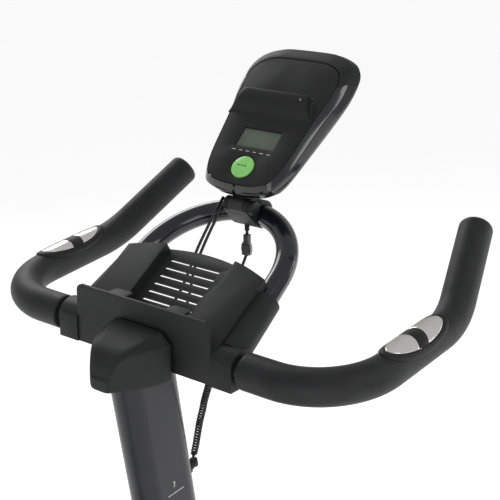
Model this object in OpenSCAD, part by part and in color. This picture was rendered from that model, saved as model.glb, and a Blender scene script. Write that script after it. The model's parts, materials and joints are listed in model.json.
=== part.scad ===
// Exercise bike with a belt-driven flywheel, a padded bullhorn handlebar, a device tray
// and a tilting console. +X points forward, +Y to the rider's left, +Z up, in millimetres.
// The origin lies on the floor, under the middle of the bike's bounding box.

/* [Handlebar] */
// Distance of the handlebar's centre line ahead of the origin
bar_x = 190; // [185:1:195]
// Height of the handlebar's centre line above the floor
bar_z = 1010; // [1000:5:1030]
// Outer diameter of the foam grips
grip_d = 38; // [36:0.5:40]
// Outer diameter of the steel handlebar under the foam
bar_d = 28; // [25:1:30]
// Outer diameter of the loop that carries the console
loop_d = 24.6; // [22:0.2:25]
// Slope of the loop above the horizontal, in degrees
loop_slope = 29.9; // [28:0.1:32]

/* [Console] */
// Slope of the console's face above the horizontal, in degrees
console_slope = 43.2; // [40:0.1:46]
// Length of the display window across the face
lcd_w = 52.6; // [48:0.2:54]
// Height of the display window along the face
lcd_h = 24.6; // [22:0.2:26]
// Diameter of the round button
button_d = 27.6; // [24:0.2:29]

/* [Posts and frame] */
// Long width of the flat-oval posts
post_l = 80; // [76:1:82]
// Short width of the flat-oval posts
post_w = 40; // [38:1:42]
// Backward lean of the handlebar post, in degrees
mast_lean = 9.8; // [9:0.1:11]
// Backward lean of the seat post, in degrees
seat_lean = 19.8; // [18:0.2:21]
// Wall of the steel tubes
wall = 2.5; // [2:0.5:3]
// Centre of the rear stabilizer, along X
rear_x = -467; // [-480:1:-460]
// Centre of the front stabilizer, along X
front_x = 415; // [405:1:420]

/* [Drive] */
// Diameter of the flywheel
flywheel_d = 380; // [360:2:384]
// Width of the flywheel's rim
flywheel_w = 24; // [18:1:28]
// Diameter of the crank pulley
crank_pulley_d = 204; // [190:2:210]
// Diameter of the flywheel's pulley
small_pulley_d = 68; // [60:2:72]
// Length of the crank arms between centres
crank_l = 170; // [165:5:175]
// Angle of the right crank arm below the horizontal, in degrees
crank_angle = 35; // [0:5:60]

/* [Saddle] */
// Height of the underside of the seat rail
rail_z = 775; // [765:5:785]
// Length of the saddle
saddle_l = 270; // [250:5:290]

/* [Hidden] */
$fn = 48;

// Colours of the finishes
black_paint = [0.05, 0.055, 0.065];
gloss_navy = [0.03, 0.035, 0.06];
matte_black = [0.045, 0.048, 0.05];
foam_black = [0.035, 0.037, 0.04];
bright_steel = [0.72, 0.7, 0.68];

// Centres of the drive, as X and Z
bb = [-132, 330];
fw = [298, 265];
stab_z = 42;
front = [front_x, stab_z];
rear = [rear_x, stab_z];

// Sockets of the posts
socket_l = post_l + 12;
socket_w = post_w + 12;
socket_wall = 3;
post_gap = 0.3;
mast_offset = -20.3;
mast_down = [-520, -250];
mast_foot = -430;
pin_z = -285;
down_head = [bar_x + mast_offset + 69, 610];
seat_socket_top = 330;
seat_foot = 150;
seat_pin_z = 300;
pin_r = 5;
pin_gap = 0.06;
pin_tip = 41;

// Belt line on the right-hand side
tangent_ease = 0.02;
belt_y = -57.5;
belt_w = 13;
belt_t = 3;
belt_gap = 0.3;
cover_back_y = -52;
cover_front_y = -84;
axle_r = 9.97;
fly_axle_r = 8.47;
arm_y = 88;
arm_t = 16;

// Stabilizers
stab_l = 80;
stab_w = 40;
front_len = 440;
rear_len = 470;
wheel_at = [484, 34];
wheel_r = 26;
wheel_y = 150;

// Brake line, from the flywheel's centre through the down tube
brake_tilt = -37.03;
brake_gap = 10.8;
brake_r = flywheel_d / 2 + brake_gap;

// Handlebar route on the left, from its centre line's middle
bar_route = [[0, 0, 0], [0, 238, 0], [197.5, 243.5, 16.5], [296.1, 213.8, 85.8]];
bar_bends = [80, 95];
grip_start = 126;
loop_leg_y = 100.5;
loop_centre = 104.9;
loop_r = 91.2;
loop_splay = 4.9;

// Tray, from the handlebar's centre line
lip_x = -14.5;
lip_t = 3;
lip_half = 92.5;
lip_top = 46.3;
lip_bottom = -20;
sleeve_end = 120;
panel_slope = 32.7;
panel_at = [-9, 17.3];
panel_half = 95;
panel_len = 111;
panel_arc = 270;
panel_t = 3;
recess_half = 48;
recess_depth = 10;
recess_from = 17;
slots_from = 38.5;
slot_pitch = 11;
slot_count = 6;
slot_w = 3;
slot_l = 70;

// Console, in its own frame: X up the face, Y to the left, Z out of the face
console_at = [182.5, 0, 180];
face_outline = [[-61.5, 8], [-60, 24], [-56, 36], [-49, 44], [-26, 51], [31, 57], [60, 61],
  [82, 62], [96, 58.5], [104, 51], [109.5, 39], [111.5, 22]];
rim_outline = [[-68.5, 10], [-66.5, 26], [-62, 40], [-54, 48], [-28, 56.5], [31, 64], [64, 70],
  [86, 71.5], [106, 69], [120, 59], [128, 42], [131, 24]];
skirt_outline = [[-66, 10], [-64, 27], [-59, 40], [-50, 49], [-26, 57], [31, 66], [64, 73],
  [86, 76], [108, 74], [123, 64], [132, 45], [135, 25]];
back_outline = [[-56, 10], [-53, 24], [-46, 34], [-36, 42], [20, 55], [60, 62], [84, 64],
  [98, 60], [108, 48], [113, 26]];
rim_z = -8;
split_z = -15;
back_z = -31;
shell = 2.4;
button_at = -38.7;
tilt_at = [-72, -27];

// Cord routes, from the handlebar's centre line
curly_route = [[30, -57, -24], [32, -54, -36], [35, -49, -48], [39, -42, -62], [43, -35, -76],
  [47, -29, -90], [50, -23, -104], [54, -17, -118], [57, -12, -132], [60, -7, -146],
  [62, -3, -156], [63, 0, -164]];
curly_d = 8.4;
boot_z = -183;
lead_d = 3.4;
lead_left = [[152, 25.5, 115.5], [140, 25.5, 104], [122, 25, 86], [104, 24, 67], [88, 22, 48],
  [66, 18, 28], [40, 14, 14], [17, 13, 3]];
lead_right = [[153, 20.5, 115.5], [141, 20.5, 104], [124, 20.5, 86], [107, 19.5, 67],
  [90, 17, 48], [66, 4, 28], [40, -8, 14], [17, -13, 3]];
lead_upper = [[162, 0, 81.5], [162, 0, 78], [162, 0, 74.3]];
lead_lower = [[160, 0, 49], [154, 0, 40], [138, -4, 28], [110, -20, 14], [76, -42, -2],
  [48, -54, -12], [30, -57, -17]];

// ---------------------------------------------------------------- functions

function unit(v) = v / norm(v);
function turn(a, b, c) = acos(unit(b - a) * unit(c - b));
function cut_back(a, b, c, r) = r * tan(turn(a, b, c) / 2);
function flip_y(route) = [for (p = route) [p.x, -p.y, p.z]];
function both_sides(half) = concat(half, [for (i = [len(half) - 1 : -1 : 0]) [half[i].x, -half[i].y]]);
function axis_of(p, i) = unit(p[min(i + 1, len(p) - 1)] - p[max(i - 1, 0)]);
function ring_at(c, t, r, n, ref) =
  let (u = unit(cross(t, ref)), v = cross(t, u))
  [for (k = [0 : n - 1]) c + r * (cos(360 * k / n) * u + sin(360 * k / n) * v)];
function rings(p, r, n, ref) = [for (i = [0 : len(p) - 1]) each ring_at(p[i], axis_of(p, i), r, n, ref)];
function skin_faces(start, m, n) = [for (i = [0 : m - 2], k = [0 : n - 1])
  [start + i * n + k, start + i * n + (k + 1) % n,
    start + (i + 1) * n + (k + 1) % n, start + (i + 1) * n + k]];
function reversed(list) = [for (i = [len(list) - 1 : -1 : 0]) list[i]];
function inside_out(faces) = [for (f = faces) reversed(f)];
function bend(a, b, c, r, steps) =
  let (u = unit(b - a), w = unit(c - b), inward = unit(w - (w * u) * u),
    centre = b - u * cut_back(a, b, c, r) + inward * r)
  [for (i = [0 : steps]) let (g = turn(a, b, c) * i / steps) centre - inward * r * cos(g) + u * r * sin(g)];
function bent_route(p, r) =
  concat([p[0]], bend(p[0], p[1], p[2], r[0], 12), bend(p[1], p[2], p[3], r[1], 6), [p[3]]);

// ---------------------------------------------------------------- shapes

module stadium(l, w) {
  square([l - w, w], center = true);
  for (s = [-1, 1]) translate([s * (l - w) / 2, 0]) circle(d = w);
}

module rounded(l, w, r) {
  square([l - 2 * r, w], center = true);
  square([l, w - 2 * r], center = true);
  for (x = [-1, 1], y = [-1, 1]) translate([x * (l / 2 - r), y * (w / 2 - r)]) circle(r);
}

// Outline of a belt around two circles. Its flanks lie a hair inside the tangents
module around(c1, r1, c2, r2) {
  d = c2 - c1;
  base = atan2(d.y, d.x);
  swing = acos((r1 - r2) / norm(d));
  up = [cos(base + swing), sin(base + swing)];
  down = [cos(base - swing), sin(base - swing)];
  a = r1 - tangent_ease;
  b = r2 - tangent_ease;
  translate(c1) circle(r1, $fn = 96);
  translate(c2) circle(r2, $fn = 96);
  polygon([c1 + a * up, c1 + a * down, c2 + b * down, c2 + b * up]);
}

// A straight strip between two points
module strip(p, q, half) {
  u = unit(q - p);
  v = half * [-u.y, u.x];
  polygon([p - v, q - v, q + v, p + v]);
}

// Extrudes an outline drawn in X and Z from y_from down to y_from - depth
module slab(y_from, depth) {
  translate([0, y_from, 0]) rotate([90, 0, 0]) linear_extrude(depth) children();
}

// A cylinder along Y whose centre is at X and Z of c
module rod_y(c, r, y0, y1) {
  translate([c.x, y1, c.y]) rotate([90, 0, 0]) cylinder(r = r, h = y1 - y0);
}

module pipe_y(c, r_out, r_in, y0, y1) {
  difference() {
    rod_y(c, r_out, y0, y1);
    rod_y(c, r_in, y0 - 1, y1 + 1);
  }
}

// Puts local Z along the line from p to q, both given as X and Z
module along(p, q) {
  translate([p.x, 0, p.y]) rotate([0, atan2(q.x - p.x, q.y - p.y), 0]) children();
}

module box_tube(p, q, l, w, r) {
  along(p, q) linear_extrude(norm(q - p)) difference() {
    rounded(l, w, r);
    rounded(l - 2 * wall, w - 2 * wall, r - wall);
  }
}

module oval_tube(l, w, t, z0, z1) {
  translate([0, 0, z0]) linear_extrude(z1 - z0) difference() {
    stadium(l, w);
    stadium(l - 2 * t, w - 2 * t);
  }
}

module oval_bar(l, w, z0, z1) {
  translate([0, 0, z0]) linear_extrude(z1 - z0) stadium(l, w);
}

// A pipe swept along its route, open at both ends
module swept_pipe(p, r_out, r_in, n, ref) {
  m = len(p);
  ends = [for (k = [0 : n - 1]) each [
    [k, m * n + k, m * n + (k + 1) % n, (k + 1) % n],
    [(m - 1) * n + (k + 1) % n, (2 * m - 1) * n + (k + 1) % n, (2 * m - 1) * n + k, (m - 1) * n + k]]];
  polyhedron(concat(rings(p, r_out, n, ref), rings(p, r_in, n, ref)),
    concat(skin_faces(0, m, n), inside_out(skin_faces(m * n, m, n)), ends), convexity = 8);
}

// A grip's sleeve along its route, with a rounded closed end
module swept_grip(p, r_out, r_in, n, ref) {
  m = len(p);
  u = axis_of(p, m - 1);
  edge = 7;
  tip = [for (g = [0 : 22.5 : 90])
    each ring_at(p[m - 1] + u * (2 + edge * sin(g)), u, r_out - edge + edge * cos(g), n, ref)];
  m_out = m + 5;
  start = [for (k = [0 : n - 1]) [k, m_out * n + k, m_out * n + (k + 1) % n, (k + 1) % n]];
  polyhedron(concat(rings(p, r_out, n, ref), tip, rings(p, r_in, n, ref)),
    concat(skin_faces(0, m_out, n), [[for (k = [0 : n - 1]) (m_out - 1) * n + k]],
      inside_out(skin_faces(m_out * n, m, n)), [[for (k = [n - 1 : -1 : 0]) (m_out + m - 1) * n + k]],
      start), convexity = 8);
}

// A flexible lead swept along its route
module swept(p, d, n, ref) {
  m = len(p);
  polyhedron(rings(p, d / 2, n, ref), concat([[for (k = [n - 1 : -1 : 0]) k]], skin_faces(0, m, n),
    [[for (k = [0 : n - 1]) (m - 1) * n + k]]), convexity = 6);
}

// ---------------------------------------------------------------- frames

module at_bar() {
  translate([bar_x, 0, bar_z]) children();
}

// Local Z runs up the handlebar post's axis, with its zero level with the handlebar
module mast() {
  translate([bar_x + mast_offset, 0, bar_z]) rotate([0, -mast_lean, 0]) children();
}

// Local Z runs up the seat post's axis from the bottom bracket
module seat_axis() {
  translate([bb.x, 0, bb.y]) rotate([0, -seat_lean, 0]) children();
}

module brake_line() {
  translate([fw.x, 0, fw.y]) rotate([0, brake_tilt, 0]) children();
}

module loop_plane() {
  at_bar() translate([0, 0, 1]) rotate([0, -loop_slope, 0]) children();
}

module panel_plane() {
  at_bar() translate([panel_at.x, 0, panel_at.y]) rotate([0, -panel_slope, 0]) children();
}

module console() {
  at_bar() translate(console_at) rotate([0, -console_slope, 0]) children();
}

// Frame of the straight part of the handlebar under the left palm: X along it, Z up
module palm(side) {
  u = unit(bar_route[2] - bar_route[1]);
  at_bar() translate([bar_route[1].x, side * bar_route[1].y, bar_route[1].z])
    rotate([0, 0, side * atan2(u.y, u.x)]) rotate([0, -asin(u.z), 0]) children();
}

// ---------------------------------------------------------------- frame pieces

module stabilizer(c, len_y) {
  translate([c.x, len_y / 2, c.y]) rotate([90, 0, 0]) linear_extrude(len_y) difference() {
    stadium(stab_l, stab_w);
    stadium(stab_l - 2 * wall, stab_w - 2 * wall);
  }
}

module stabilizer_bulk(c) {
  translate([c.x, 100, c.y]) rotate([90, 0, 0]) linear_extrude(200) stadium(stab_l, stab_w);
}

module front_stabilizer() {
  color(black_paint) {
    stabilizer(front, front_len);
    for (s = [-1, 1], e = [-13.5, 13.5]) difference() {
      slab(s * wheel_y + e + 1.5, 3) around([front_x + 34, stab_z], 13, wheel_at, 12);
      translate([front_x, 200, stab_z]) rotate([90, 0, 0]) linear_extrude(400)
        stadium(stab_l, stab_w);
      rod_y(wheel_at, 4.05, -200, 200);
    }
  }
}

module rear_stabilizer() {
  color(black_paint) stabilizer(rear, rear_len);
}

module foot_caps() {
  color(matte_black)
  for (end = [[front_x, front_len], [rear_x, rear_len]], s = [0, 1]) mirror([0, s, 0])
    translate([end[0], end[1] / 2, 0]) difference() {
      union() {
        translate([0, 6, stab_z]) rotate([90, 0, 0]) linear_extrude(34)
          stadium(stab_l + 6, stab_w + 6);
        translate([0, -11, 0]) cylinder(d1 = 46, d2 = 40, h = stab_z - 10);
      }
      translate([0, 0, stab_z]) rotate([90, 0, 0]) linear_extrude(40)
        stadium(stab_l + 0.2, stab_w + 0.2);
    }
}

module rear_beam() {
  color(black_paint) difference() {
    box_tube(bb, rear, 70, 40, 8);
    rod_y(bb, 28, -60, 60);
    stabilizer_bulk(rear);
    seat_axis() oval_bar(socket_l, socket_w, -10, 200);
    along(bb, down_head) translate([0, 0, -0.2]) linear_extrude(120) rounded(70.4, 40.4, 8);
  }
}

module down_tube() {
  color(black_paint) difference() {
    union() {
      difference() {
        box_tube(bb, down_head, 70, 40, 8);
        brake_line() translate([0, 0, 260]) cylinder(r = 14, h = 104);
      }
      brake_line() translate([0, 0, 264]) cylinder(r = 14, h = 96);
    }
    rod_y(bb, 28, -60, 60);
    seat_axis() oval_bar(socket_l, socket_w, -10, 300);
    mast() oval_bar(socket_l, socket_w, -530, -200);
    brake_line() translate([0, 0, 250]) cylinder(r = 8, h = 130);
  }
}

module pin_boss(x0, side, z) {
  translate([side * x0, 0, z]) rotate([0, side * 90, 0]) cylinder(r = 12, h = 14);
}

module pin_hole(side, z, r) {
  translate([0, 0, z]) rotate([0, side * 90, 0]) cylinder(r = r, h = 90);
}

module seat_tube() {
  color(black_paint) {
    difference() {
      seat_axis() difference() {
        union() {
          oval_tube(socket_l, socket_w, socket_wall, 0, seat_socket_top);
          difference() {
            pin_boss(socket_l / 2 - 2, -1, seat_pin_z);
            oval_bar(socket_l - 2, socket_w - 2, 200, 400);
          }
        }
        pin_hole(-1, seat_pin_z, pin_r + pin_gap);
      }
      rod_y(bb, 28, -60, 60);
    }
    pipe_y(bb, 28, 21, -45, 45);
  }
}

module head_tube() {
  color(black_paint) mast() difference() {
    union() {
      oval_tube(socket_l, socket_w, socket_wall, mast_down[0], mast_down[1]);
      difference() {
        pin_boss(socket_l / 2 - 2, 1, pin_z);
        oval_bar(socket_l - 2, socket_w - 2, -400, -200);
      }
      translate([-40, -52, mast_down[0] - 8]) cube([80, 104, 8]);
    }
    pin_hole(1, pin_z, pin_r + pin_gap);
  }
}

// Side outline of a fork blade, from under the crown past the hub to the stabilizer
module blade_outline(inset) {
  lean = [-sin(mast_lean), cos(mast_lean)];
  axis = [bar_x + mast_offset, bar_z];
  strip(axis - 756 * lean, axis + (mast_down[0] - 8 - inset) * lean, 30 - inset);
  strip(fw, front, 26 - inset);
  if (inset == 0) translate(fw) circle(32);
}

module fork_blades() {
  skin_t = 3;
  color(black_paint)
  for (s = [0, 1]) mirror([0, s, 0]) difference() {
    slab(50, 20) blade_outline(0);
    slab(50 - skin_t, 20 - 2 * skin_t) difference() {
      blade_outline(skin_t);
      translate(fw) circle(28);
    }
    rod_y(fw, 17.5, 20, 60);
    stabilizer_bulk(front);
  }
}

module bushing(z0, z1, side, hole_z) {
  difference() {
    union() {
      oval_bar(socket_l - 2 * socket_wall - 0.2, socket_w - 2 * socket_wall - 0.2, z0, z1);
      oval_bar(socket_l + 4, socket_w + 4, z1, z1 + 8);
    }
    oval_bar(post_l + post_gap, post_w + post_gap, z0 - 1, z1 + 9);
    pin_hole(side, hole_z, pin_r + 0.5);
  }
}

module post_bushings() {
  color(matte_black) {
    mast() bushing(mast_down[0] + 2, mast_down[1], 1, pin_z);
    seat_axis() bushing(seat_foot - 60, seat_socket_top, -1, seat_pin_z);
  }
}

module frame_fasteners() {
  color(bright_steel) {
    for (s = [-1, 1]) {
      rod_y(wheel_at, 4, s * wheel_y - 18, s * wheel_y + 18);
      rod_y(wheel_at, 7, s * wheel_y + 15.2, s * wheel_y + 20);
      rod_y(wheel_at, 7, s * wheel_y - 20, s * wheel_y - 15.2);
    }
    for (p = cover_screws()) {
      rod_y(p, 4.5, cover_front_y - 2.5, cover_front_y);
      rod_y(p, 2, cover_front_y, cover_back_y);
    }
  }
}

module transport_wheel(side) {
  color(matte_black) translate([0, side * wheel_y, 0]) difference() {
    union() {
      rod_y(wheel_at, wheel_r, -9, 9);
      rod_y(wheel_at, wheel_r - 2, -11, 11);
    }
    for (e = [-12, 7]) pipe_y(wheel_at, wheel_r - 6, 8, e, e + 5);
    rod_y(wheel_at, 4.06, -20, 20);
  }
}

module transport_wheel_left() {
  transport_wheel(1);
}

module transport_wheel_right() {
  transport_wheel(-1);
}

// ---------------------------------------------------------------- drive

function polar(c, r, a) = c + r * [cos(a), sin(a)];
function cover_screws() = concat(
  [for (a = [100, 180, 260]) polar(bb, crank_pulley_d / 2 + 9.5, a)],
  [for (a = [-60, 60]) polar(fw, small_pulley_d / 2 + 10, a)]);

module belt_cover() {
  big = crank_pulley_d / 2 + 18;
  small = small_pulley_d / 2 + 20;
  depth = cover_back_y - 2.5 - cover_front_y;
  color(matte_black) difference() {
    union() {
      difference() {
        union() {
          slab(cover_back_y - 2.5, depth - 4) around(bb, big, fw, small);
          slab(cover_front_y + 4, 4) around(bb, big - 5, fw, small - 5);
        }
        slab(cover_back_y + 1, depth + 1) around(bb, big - 2.5 - 5, fw, small - 2.5 - 5);
        slab(cover_back_y + 1, depth - 4) around(bb, big - 2.5, fw, small - 2.5);
      }
      for (p = cover_screws()) rod_y(p, 5, cover_front_y + 1, cover_back_y - 2.5);
    }
    rod_y(bb, 14, -100, -40);
    for (p = cover_screws()) rod_y(p, 2.2, -100, -40);
  }
}

module belt_cover_back() {
  big = crank_pulley_d / 2 + 18;
  small = small_pulley_d / 2 + 20;
  color(matte_black) difference() {
    union() {
      slab(cover_back_y, 2.5) around(bb, big, fw, small);
      for (p = [bb + 100 * [0.798, 0.602], bb + 90 * unit(rear - bb)]) rod_y(p, 8, cover_back_y, -20);
      rod_y(fw, 25, cover_back_y, -50);
    }
    rod_y(bb, 16, -100, -40);
    rod_y(fw, 14, -100, -40);
    for (p = cover_screws()) rod_y(p, 2.2, -100, -40);
  }
}

module drive_belt() {
  color([0.02, 0.02, 0.02]) slab(belt_y, belt_w) difference() {
    around(bb, crank_pulley_d / 2 + belt_gap + belt_t, fw, small_pulley_d / 2 + belt_gap + belt_t);
    around(bb, crank_pulley_d / 2 + belt_gap, fw, small_pulley_d / 2 + belt_gap);
  }
}

module bearings() {
  color(bright_steel) {
    for (y = [-45, 33]) pipe_y(bb, 20.98, 10, y, y + 12);
    for (y = [-45, 35]) pipe_y(fw, 17.48, 8.5, y, y + 10);
  }
}

module flywheel() {
  rim_in = flywheel_d / 2 - 42;
  half = flywheel_w / 2;
  color([0.1, 0.1, 0.11]) difference() {
    translate([fw.x, 0, fw.y]) rotate([90, 0, 0]) rotate_extrude($fn = 180) polygon([
      [fly_axle_r + 0.03, -27], [28, -27], [28, -6], [rim_in - 6, -6], [rim_in, -half],
      [flywheel_d / 2 - 2, -half], [flywheel_d / 2, -half + 2], [flywheel_d / 2, half - 2],
      [flywheel_d / 2 - 2, half], [rim_in, half], [rim_in - 6, 6], [28, 6], [28, 27],
      [fly_axle_r + 0.03, 27]
    ]);
    for (a = [0 : 72 : 359]) rod_y(polar(fw, 88, a), 26, -20, 20);
  }
}

module flywheel_axle() {
  color(bright_steel) rod_y(fw, fly_axle_r, -75, 52);
}

module pulley(c, r, bore, hub_r, y0, y1) {
  mid = (y0 + y1) / 2;
  n = 5;
  pitch = (y1 - y0 - 3) / n;
  groove = 1.6;
  translate([c.x, mid, c.y]) rotate([90, 0, 0]) rotate_extrude($fn = 180) polygon(concat(
    [[bore, (y0 - y1) / 2], [r, (y0 - y1) / 2], [r, (y0 - y1) / 2 + 1.5]],
    [for (i = [0 : n - 1]) each [
      [r - groove, (y0 - y1) / 2 + 1.5 + pitch * (i + 0.5)],
      [r, (y0 - y1) / 2 + 1.5 + pitch * (i + 1)]]],
    [[r, (y1 - y0) / 2], [bore, (y1 - y0) / 2]]));
}

module flywheel_pulley() {
  color(bright_steel) pulley(fw, small_pulley_d / 2, 8.5, 20, belt_y - belt_w - 0.5, belt_y + 0.5);
}

module crank_axle() {
  color(bright_steel) rod_y(bb, axle_r, -arm_y - arm_t, arm_y + arm_t);
}

module crank_pulley() {
  color([0.14, 0.14, 0.15]) difference() {
    pulley(bb, crank_pulley_d / 2, 10, 24, belt_y - belt_w - 0.5, belt_y + 0.5);
    for (a = [0 : 60 : 359]) rod_y(polar(bb, 60, a), 22, -100, 0);
  }
}

module crank_arm() {
  slab(arm_y + arm_t, arm_t) difference() {
    around([0, 0], 20, [crank_l, 0], 14);
    circle(axle_r + 0.03);
    translate([crank_l, 0]) circle(7);
  }
}

// Places a crank arm's own frame: X from the axle to the pedal. turned picks the left arm
module crank_frame(left) {
  translate([bb.x, 0, bb.y]) rotate([0, crank_angle + (left ? 180 : 0), 0])
    mirror([0, left ? 0 : 1, 0]) children();
}

module crank_arms() {
  color([0.3, 0.3, 0.32]) for (left = [false, true]) crank_frame(left) crank_arm();
}

module pedal_spindles() {
  color(bright_steel) for (left = [false, true]) crank_frame(left) {
    rod_y([crank_l, 0], 6.97, arm_y + 1, arm_y + arm_t);
    rod_y([crank_l, 0], 9, arm_y + arm_t, arm_y + arm_t + 7);
    rod_y([crank_l, 0], 6, arm_y + arm_t + 7, 205);
  }
}

function pedal_centre(left) =
  bb + (left ? -1 : 1) * crank_l * [cos(crank_angle), -sin(crank_angle)];

module pedal(left) {
  c = pedal_centre(left);
  color(matte_black) mirror([0, left ? 0 : 1, 0]) difference() {
    union() {
      rod_y(c, 11, 113, 211);
      for (e = [-1, 1]) slab(211, 98) translate([c.x + e * 39, c.y]) rounded(12, 26, 3);
      for (y = [121, 166, 211]) slab(y, 8) translate(c) rounded(84, 22, 3);
      for (e = [-1, 1], k = [0 : 8]) translate([c.x + e * 39 - 2, 119 + 10 * k, c.y - 14])
        cube([4, 4, 28]);
    }
    rod_y(c, 6.05, 100, 207);
  }
}

module pedal_right() {
  pedal(false);
}

module pedal_left() {
  pedal(true);
}

// ---------------------------------------------------------------- brake

module brake_collar() {
  color(bright_steel) brake_line() difference() {
    union() {
      translate([0, 0, 290]) cylinder(r = 7.95, h = 78);
      translate([0, 0, 368]) cylinder(r = 13, h = 4);
    }
    translate([0, 0, 280]) cylinder(r = 5.06, h = 100);
  }
}

module brake_rod() {
  color(bright_steel) brake_line() {
    translate([0, 0, brake_r + 17]) cylinder(r = 5, h = 405 - brake_r - 17);
    translate([0, 0, 276]) cylinder(r = 7, h = 13.8);
  }
}

module resistance_knob() {
  color(matte_black) brake_line() difference() {
    union() {
      translate([0, 0, 372.3]) cylinder(r1 = 15, r2 = 18, h = 14);
      translate([0, 0, 386.3]) cylinder(r = 24, h = 24);
      translate([0, 0, 410.3]) cylinder(r1 = 24, r2 = 18, h = 6);
    }
    for (a = [0 : 45 : 359]) rotate([0, 0, a]) translate([29, 0, 380]) cylinder(r = 8, h = 40);
    translate([0, 0, 370]) cylinder(r = 5.02, h = 35.2);
  }
}

module brake_carrier() {
  color(black_paint) brake_line() difference() {
    translate([-42, -20, brake_r - 2]) cube([84, 40, 32]);
    translate([-50, -15, brake_r - 10]) cube([100, 30, 23]);
    translate([0, 0, brake_r]) cylinder(r = 5.06, h = 50);
  }
}

module brake_pad() {
  color([0.35, 0.3, 0.24]) difference() {
    brake_line() translate([-38, -14.9, brake_r - 8]) cube([76, 29.8, 21]);
    translate([fw.x, 30, fw.y]) rotate([90, 0, 0]) cylinder(r = brake_r, h = 60, $fn = 240);
    brake_line() translate([0, 0, brake_r + 6]) cylinder(r = 8, h = 50);
  }
}

// ---------------------------------------------------------------- seat

rail_top = rail_z + 30;
seat_x = bb.x - (rail_z - bb.y) * tan(seat_lean);
saddle_z = rail_top + 32;

module seat_post() {
  color(black_paint) difference() {
    seat_axis() oval_tube(post_l, post_w, wall, seat_foot, 560);
    translate([-600, -100, rail_z]) cube([600, 200, 200]);
    seat_axis() for (k = [0 : 6]) pin_hole(-1, seat_pin_z - 120 + 20 * k, pin_r + 0.5);
  }
}

module seat_rail() {
  color([0.3, 0.3, 0.32]) difference() {
    translate([seat_x - 140, -25, rail_z]) cube([230, 50, 30]);
    translate([seat_x - 145, -22, rail_z + 3]) cube([240, 44, 24]);
  }
}

module saddle_slider() {
  x0 = seat_x - 75;
  color(black_paint) difference() {
    union() {
      translate([x0, -30, rail_z - 4]) cube([80, 60, 40.5]);
      translate([x0 + 40, 0, rail_top + 5]) cylinder(r = 13, h = 19);
      translate([x0 + 5, -22, rail_top + 22]) cube([70, 44, 10]);
      translate([x0 + 40, -29, rail_z + 15]) rotate([90, 0, 0]) cylinder(r = 11, h = 7);
    }
    translate([x0 - 5, -25.3, rail_z - 0.3]) cube([90, 50.6, 30.6]);
    translate([x0 - 5, -21.6, rail_z - 10]) cube([90, 43.2, 20]);
    translate([x0 + 40, -20, rail_z + 15]) rotate([90, 0, 0]) cylinder(r = pin_r + pin_gap, h = 30);
  }
}

module saddle_outline(rear_r, nose_r) {
  around([seat_x - 95, 0], rear_r, [seat_x - 95 + saddle_l - rear_r - nose_r, 0], nose_r);
}

module saddle_base() {
  color(matte_black) difference() {
    translate([0, 0, saddle_z]) linear_extrude(16) saddle_outline(88, 30);
    translate([0, 0, saddle_z - 3]) linear_extrude(15) difference() {
      saddle_outline(84, 26);
      translate([seat_x - 80, -32]) square([90, 64]);
    }
  }
}

module saddle_pad() {
  color(foam_black) translate([0, 0, saddle_z + 16.3]) hull() {
    linear_extrude(18) saddle_outline(90, 32);
    linear_extrude(32) saddle_outline(82, 25);
    linear_extrude(40) saddle_outline(66, 12);
  }
}

// A pull pin with a mushroom knob, drawn along +Z from its tip
module pull_pin(tip, head) {
  translate([0, 0, tip]) cylinder(r = pin_r, h = head - tip);
  translate([0, 0, head]) cylinder(r1 = 11, r2 = 20, h = 10);
  translate([0, 0, head + 10]) cylinder(r = 20, h = 12);
  translate([0, 0, head + 22]) cylinder(r1 = 20, r2 = 14, h = 5);
}

module seat_post_knob() {
  color(matte_black) seat_axis() translate([0, 0, seat_pin_z]) rotate([0, -90, 0])
    pull_pin(pin_tip, socket_l / 2 + 12.5);
}

module handlebar_post_knob() {
  color(matte_black) mast() translate([0, 0, pin_z]) rotate([0, 90, 0])
    pull_pin(pin_tip, socket_l / 2 + 12.5);
}

module saddle_knob() {
  color(matte_black) translate([seat_x - 35, 0, rail_z + 15]) rotate([90, 0, 0])
    pull_pin(25.2, 36.5);
}

// ---------------------------------------------------------------- handlebar

module post_top() {
  at_bar() translate([-200, -100, -24]) cube([400, 200, 200]);
}

module handlebar_post() {
  color([0.09, 0.09, 0.11]) difference() {
    mast() oval_tube(post_l, post_w, wall, mast_foot, 0);
    post_top();
    mast() for (k = [-5 : 2]) pin_hole(1, pin_z + 25 * k, pin_r + 0.5);
    mast() pin_hole(1, boot_z, 4);
  }
}

module handlebar_bracket() {
  color(black_paint) at_bar() difference() {
    union() {
      translate([-56, -19, -24]) cube([80, 38, 3.5]);
      translate([-11, -30, -20.5]) cube([35, 60, 16.5]);
    }
    rotate([90, 0, 0]) cylinder(d = bar_d, h = 100, center = true);
    for (y = [-20, 20]) translate([19, y, -30]) cylinder(r = 2.6, h = 40);
  }
}

module handlebar_tube() {
  u = unit(bar_route[3] - bar_route[2]);
  left = bent_route([bar_route[0], bar_route[1], bar_route[2], bar_route[3] - u], bar_bends);
  half = [for (i = [1 : len(left) - 1]) left[i]];
  color(black_paint) at_bar()
    swept_pipe(concat(reversed(flip_y(half)), half), bar_d / 2, bar_d / 2 - 2, 20, [0, 0, 1]);
}

module loop_tube() {
  arc = [for (i = [0 : 32]) let (g = (90 - loop_splay) * (1 - i / 16))
    [loop_centre + loop_r * cos(g), loop_r * sin(g), 0]];
  foot = [bar_d / 2 + 0.4, loop_leg_y - (bar_d / 2 + 0.4) * tan(loop_splay), 0];
  color(gloss_navy) loop_plane()
    swept_pipe(concat([foot], arc, [[foot.x, -foot.y, 0]]), loop_d / 2, loop_d / 2 - 2, 24, [0, 0, 1]);
}

module grip() {
  route = [[0, grip_start, 0], bar_route[1], bar_route[2], bar_route[3]];
  swept_grip(bent_route(route, bar_bends), grip_d / 2, bar_d / 2 + 0.3, 24, [0, 0, 1]);
}

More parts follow.
